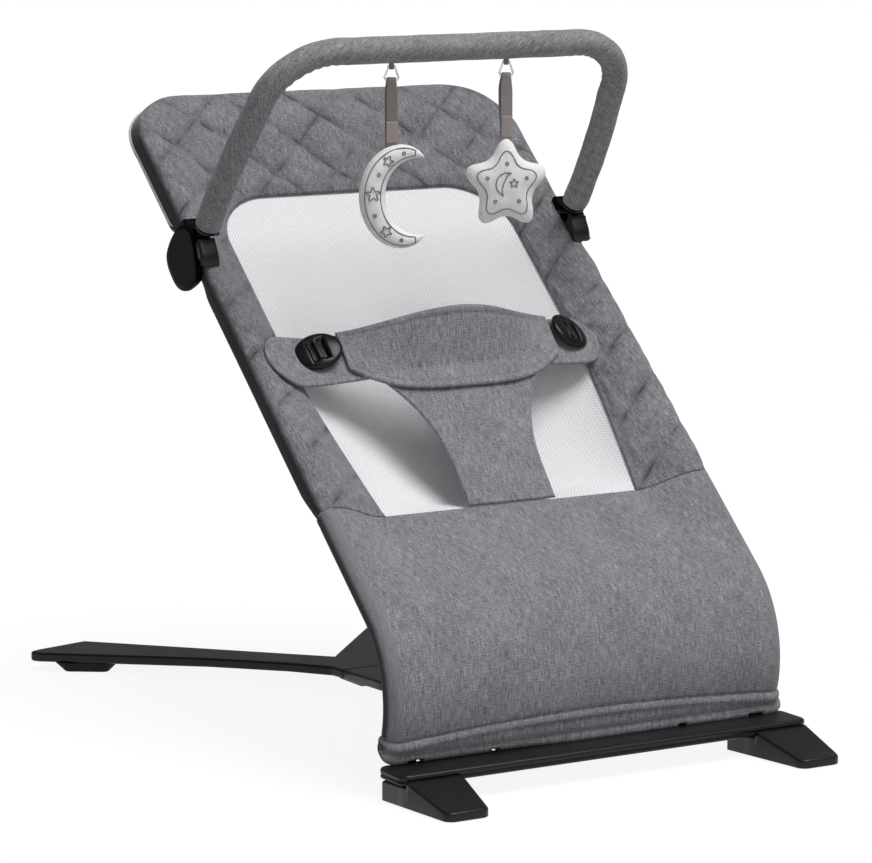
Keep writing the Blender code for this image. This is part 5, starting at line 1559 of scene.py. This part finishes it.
# %% Topstitching of the harness
STITCH_IN = 0.0060
STITCH_LIFT = 0.0011
flap_x = np.linspace(-1, 1, 200) * (FLAP_HALF - 0.0050)
lines = [line_on_seat(flap_x, flap_low(flap_x) + 0.0062, FLAP_LIFT + STITCH_LIFT)]
for side, wing in ((-1, BELT_HALF), (1, BELT_RIGHT)):
    s = np.linspace(WINDOW_LOW + 0.003, BELT_LOW - 0.026, 120)
    lines.append(line_on_seat(side * (strap_half(s) - 0.0055), s, STITCH_LIFT))
    turn = np.linspace(-RIGHT_ANGLE, RIGHT_ANGLE, 90)
    end_x = wing - BELT_END + (BELT_END - STITCH_IN) * np.cos(turn)
    end_s = (BELT_TOP + BELT_LOW) / 2 + ((BELT_TOP - BELT_LOW) / 2 - STITCH_IN) * np.sin(turn)
    inner_x = np.linspace(0.092, end_x[0], 40)[:-1]
    end_x = np.concatenate((inner_x, end_x))
    end_s = np.concatenate((0 * inner_x + BELT_LOW + STITCH_IN, end_s))
    lines.append(line_on_seat(side * end_x, end_s, STITCH_LIFT))
stitches("harness_stitches", lines, "seat")

# %% Stitches of the sleeve's hems
turn = np.linspace(0, 2 * np.pi, 60)[:, None]
lines = []
for at in (14, -15):
    spoke = np.cos(turn) * out[at] + np.sin(turn) * ARCH_OUT
    lines.append((center[at] + spoke * (SLEEVE + 0.0003), spoke))
stitches("sleeve_stitches", lines, "toy_bar", 0.0036, 0.0022)

# %% [markdown]
# ## Piping
#
# A pale cord covered in cloth closes the back edge of the headrest's side wall. It follows that edge, so
# it comes from the border's own grid: the line where the wall ends and the return begins.

# %% Piping round the headrest

def round_line(name, points, radius, body, finish, sides=12, closed=False):
    """A round cord along a path: its rings lie across the path; an open one shrinks to its ends."""
    along, grow = np.gradient(points, axis=0), 1.0
    if closed:
        along = np.roll(points, -1, axis=0) - np.roll(points, 1, axis=0)
    else:
        steps = np.arange(len(points))
        grow = pillow(np.minimum(steps, steps[::-1]) / 4, 1.0)[:, None]
    along = unit(along)
    first = unit(np.cross(along, np.array((0.31, 0.77, 0.56))))
    second = np.cross(first, along)
    turn = np.linspace(0, 2 * np.pi, sides + 1)
    turn[-1] = 0
    ring = np.cos(turn)[:, None, None] * first + np.sin(turn)[:, None, None] * second
    skin = points + ring * radius * grow
    if closed:
        skin = np.concatenate((skin, skin[:, :1]), axis=1)
    uv = np.stack(np.broadcast_arrays((turn * radius)[:, None], length_along(skin[0])), -1).reshape(-1, 2)
    new_piece(name, skin.reshape(-1, 3), quads(numbered(skin)), body, finish, uv)


PIPING_RADIUS = 0.0015
on_head = border_stations(rows)[0][:, 1] > CLIP_S + 0.040
piping_path = border_front[on_head, sum(BORDER_STEPS[:3])] - 0.0006 * OUT_OF_SLOPE
round_line("headrest_piping", piping_path, PIPING_RADIUS, "seat", piping_cloth)

# %% [markdown]
# ## Embroidered outlines
#
# Both toys carry plain outlines in grey satin stitch: a line that follows the toy's own edge and a few
# small stars, moons and dots inside it. Each is drawn as a flat curve and laid onto the fleece; the
# height comes from the four nearest points of the toy's front, weighted by their closeness.

# %% Lines laid on a toy

def laid_on(x, z, toy):
    """Local y of the toy's front under flat points: the mean of the four nearest, weighted by 1 / d^2."""
    grid_x, grid_z, full = (v.ravel() for v in toy)
    distance = (x[:, None] - grid_x) ** 2 + (z[:, None] - grid_z) ** 2
    near = np.argsort(distance, axis=1)[:, :4]
    weight = 1 / (np.take_along_axis(distance, near, axis=1) + 1e-9)
    return -(full[near] * weight).sum(axis=1) / weight.sum(axis=1)


def embroider(word, name, curves, toy):
    """One raised line for each closed flat curve (x, z) on a toy."""
    for number, (x, z) in enumerate(curves, 1):
        flat_x, flat_z = even_path(np.stack((x, z), -1), 0.0007).T
        y = laid_on(flat_x, flat_z, toy) - 0.0002
        path = hanging(word, flat_x[:-1], y[:-1], flat_z[:-1])
        round_line(f"{name}_{number}", path, 0.00055, "toy_" + word[0], grey_thread, 8, closed=True)


def small_star(x, z, size, turn=0.0):
    """A closed outline with five rounded points, size from its middle to a point."""
    a = np.linspace(0, 2 * np.pi, 121)
    r = size * star_edge(a, (0.70, 0.26, 0.04))
    return x + r * np.cos(a + turn), z + r * np.sin(a + turn)


def small_moon(x, z, size, turn):
    """A crescent: half a circle out and a shallower arc of ellipse back."""
    a = np.linspace(-RIGHT_ANGLE, RIGHT_ANGLE, 60)
    u = np.concatenate((-np.cos(a), -0.35 * np.cos(a[::-1]))) * size
    v = np.concatenate((np.sin(a), np.sin(a[::-1]))) * size
    return x + u * math.cos(turn) - v * math.sin(turn), z + u * math.sin(turn) + v * math.cos(turn)


def small_dot(x, z):
    """A circle of 1.3 mm radius."""
    return arc(x, z, 0.0013, 0, 360, 41)


def moon_spot(turn, across):
    """A flat point on the crescent, by its turn in degrees and its place from -1, inside, to 1, outside."""
    return fitted(*moon_plane(np.radians(turn), across), MOON, moon_outline)


# %% Embroidery of the moon
a = np.linspace(-0.86, 0.86, 80) * MOON_TURN
rim = [np.concatenate((p, q[::-1], p[:1])) for p, q in zip(moon_plane(a, 0.62), moon_plane(a, -0.58))]
curves = [fitted(*rim, MOON, moon_outline)]
for turn, size in ((-48, 0.0052), (4, 0.0064), (52, 0.0048)):
    curves.append(small_star(*moon_spot(turn, 0.0), size, turn / 60))
for turn, across in ((-22, 0.1), (30, -0.05), (78, 0.0), (-74, 0.0)):
    curves.append(small_dot(*moon_spot(turn, across)))
embroider("left", "moon_embroidery", curves, moon_front)

# %% Embroidery of the star
DOT_REACH = 0.0185
a = np.linspace(0, 2 * np.pi, 200)
rim = 0.74 * star_edge(a) * np.cos(a), 0.74 * star_edge(a) * np.sin(a)
middle_z = TOY_TOP - STAR[1] * 0.53
curves = [fitted(*rim, STAR, star_outline), small_moon(0.0005, middle_z, 0.0105, -0.35)]
curves.append(small_star(0.0062, middle_z + 0.0010, 0.0040))
for turn in (0.30, 1.57, 2.84, 4.10, 5.33):
    curves.append(small_dot(DOT_REACH * math.cos(turn), middle_z + DOT_REACH * math.sin(turn)))
embroider("right", "star_embroidery", curves, star_front)

# %% [markdown]
# ## Camera
#
# The photograph was taken from the child's right, a little above the seat, with a long lens. The place
# and the focal length come from a fit to the frame's own corners.

# %% Camera
AZIMUTH = math.radians(-31.0)
ELEVATION = math.radians(9.04453)
lens = bpy.data.cameras.new("camera")
lens.lens = 168.11
lens.sensor_width = 36.0
camera = in_scene("camera", lens)
camera.location = (-1.87854, -3.13853, 0.84219)
camera.rotation_euler = (RIGHT_ANGLE - ELEVATION, 0.0, AZIMUTH)
bpy.context.scene.camera = camera

# %% [markdown]
# ## Light and floor
#
# A wide soft light comes from overhead, a little from the front and from the child's left: whatever
# faces up is bright and the sides that face left go dark, as in the photograph. A weak one from the
# front opens the shadows, and the world adds an even white. Both lamps are suns with a wide angle, so
# the light is the same all over the floor. The floor is plain and pale. Seen straight by the camera,
# or in a reflection, it glows enough to read as white, and it still receives a faint shadow.

# %% Lamps and world
SKY_LEVEL = 0.22


def soft_light(name, origin, spread, level):
    """A sun from that direction, spread over an angle, that adds level times a surface's own colour."""
    lamp = bpy.data.lights.new(name, "SUN")
    lamp.angle = math.radians(spread)
    lamp.energy = level * math.pi
    in_scene(name, lamp).rotation_euler = (-Vector(origin)).to_track_quat("-Z", "Y").to_euler()


soft_light("overhead_light", (0.19, -0.40, 1.0), 38, 0.78)
soft_light("front_light", (-0.10, -1.0, 0.25), 70, 0.12)

world = bpy.data.worlds.new("studio")
world.use_nodes = True
sky = world.node_tree
seen = add(sky, "LightPath").outputs["Is Camera Ray"]
sky.nodes["Background"].inputs["Color"].default_value = (1.0, 1.0, 1.0, 1.0)
shown_level = math_node(sky, "MULTIPLY_ADD", seen, 1 - SKY_LEVEL, SKY_LEVEL)
sky.links.new(shown_level, sky.nodes["Background"].inputs["Strength"])
bpy.context.scene.world = world
bpy.context.scene.view_settings.view_transform = "Standard"

# %% Floor
FLOOR_HALF = 40.0
floor_finish, tree, shader = new_finish("matt white studio floor", Roughness=1.0)
shader.inputs["Specular IOR Level"].default_value = 0.0
shader.inputs["Base Color"].default_value = (0.40, 0.40, 0.40, 1.0)
shown = add(tree, "BsdfDiffuse", {"Color": (0.12, 0.12, 0.12, 1.0)}).outputs[0]
glow = add(tree, "Emission", {"Strength": 0.90}).outputs[0]
both_lit = add(tree, "AddShader", {0: shown, 1: glow}).outputs[0]
rays = add(tree, "LightPath").outputs
direct = math_node(tree, "MAXIMUM", rays["Is Camera Ray"], rays["Is Glossy Ray"])
direct = math_node(tree, "MAXIMUM", direct, rays["Is Transmission Ray"])
choice = add(tree, "MixShader", {0: direct, 1: shader.outputs[0], 2: both_lit})
tree.links.new(choice.outputs[0], tree.nodes["Material Output"].inputs["Surface"])
floor_mesh = bpy.data.meshes.new("floor")
corners = [(x * FLOOR_HALF, y * FLOOR_HALF, 0.0) for x, y in ((-1, -1), (1, -1), (1, 1), (-1, 1))]
floor_mesh.from_pydata(corners, [], [(0, 1, 2, 3)])
floor_mesh.materials.append(floor_finish)
floor = in_scene("floor", floor_mesh)
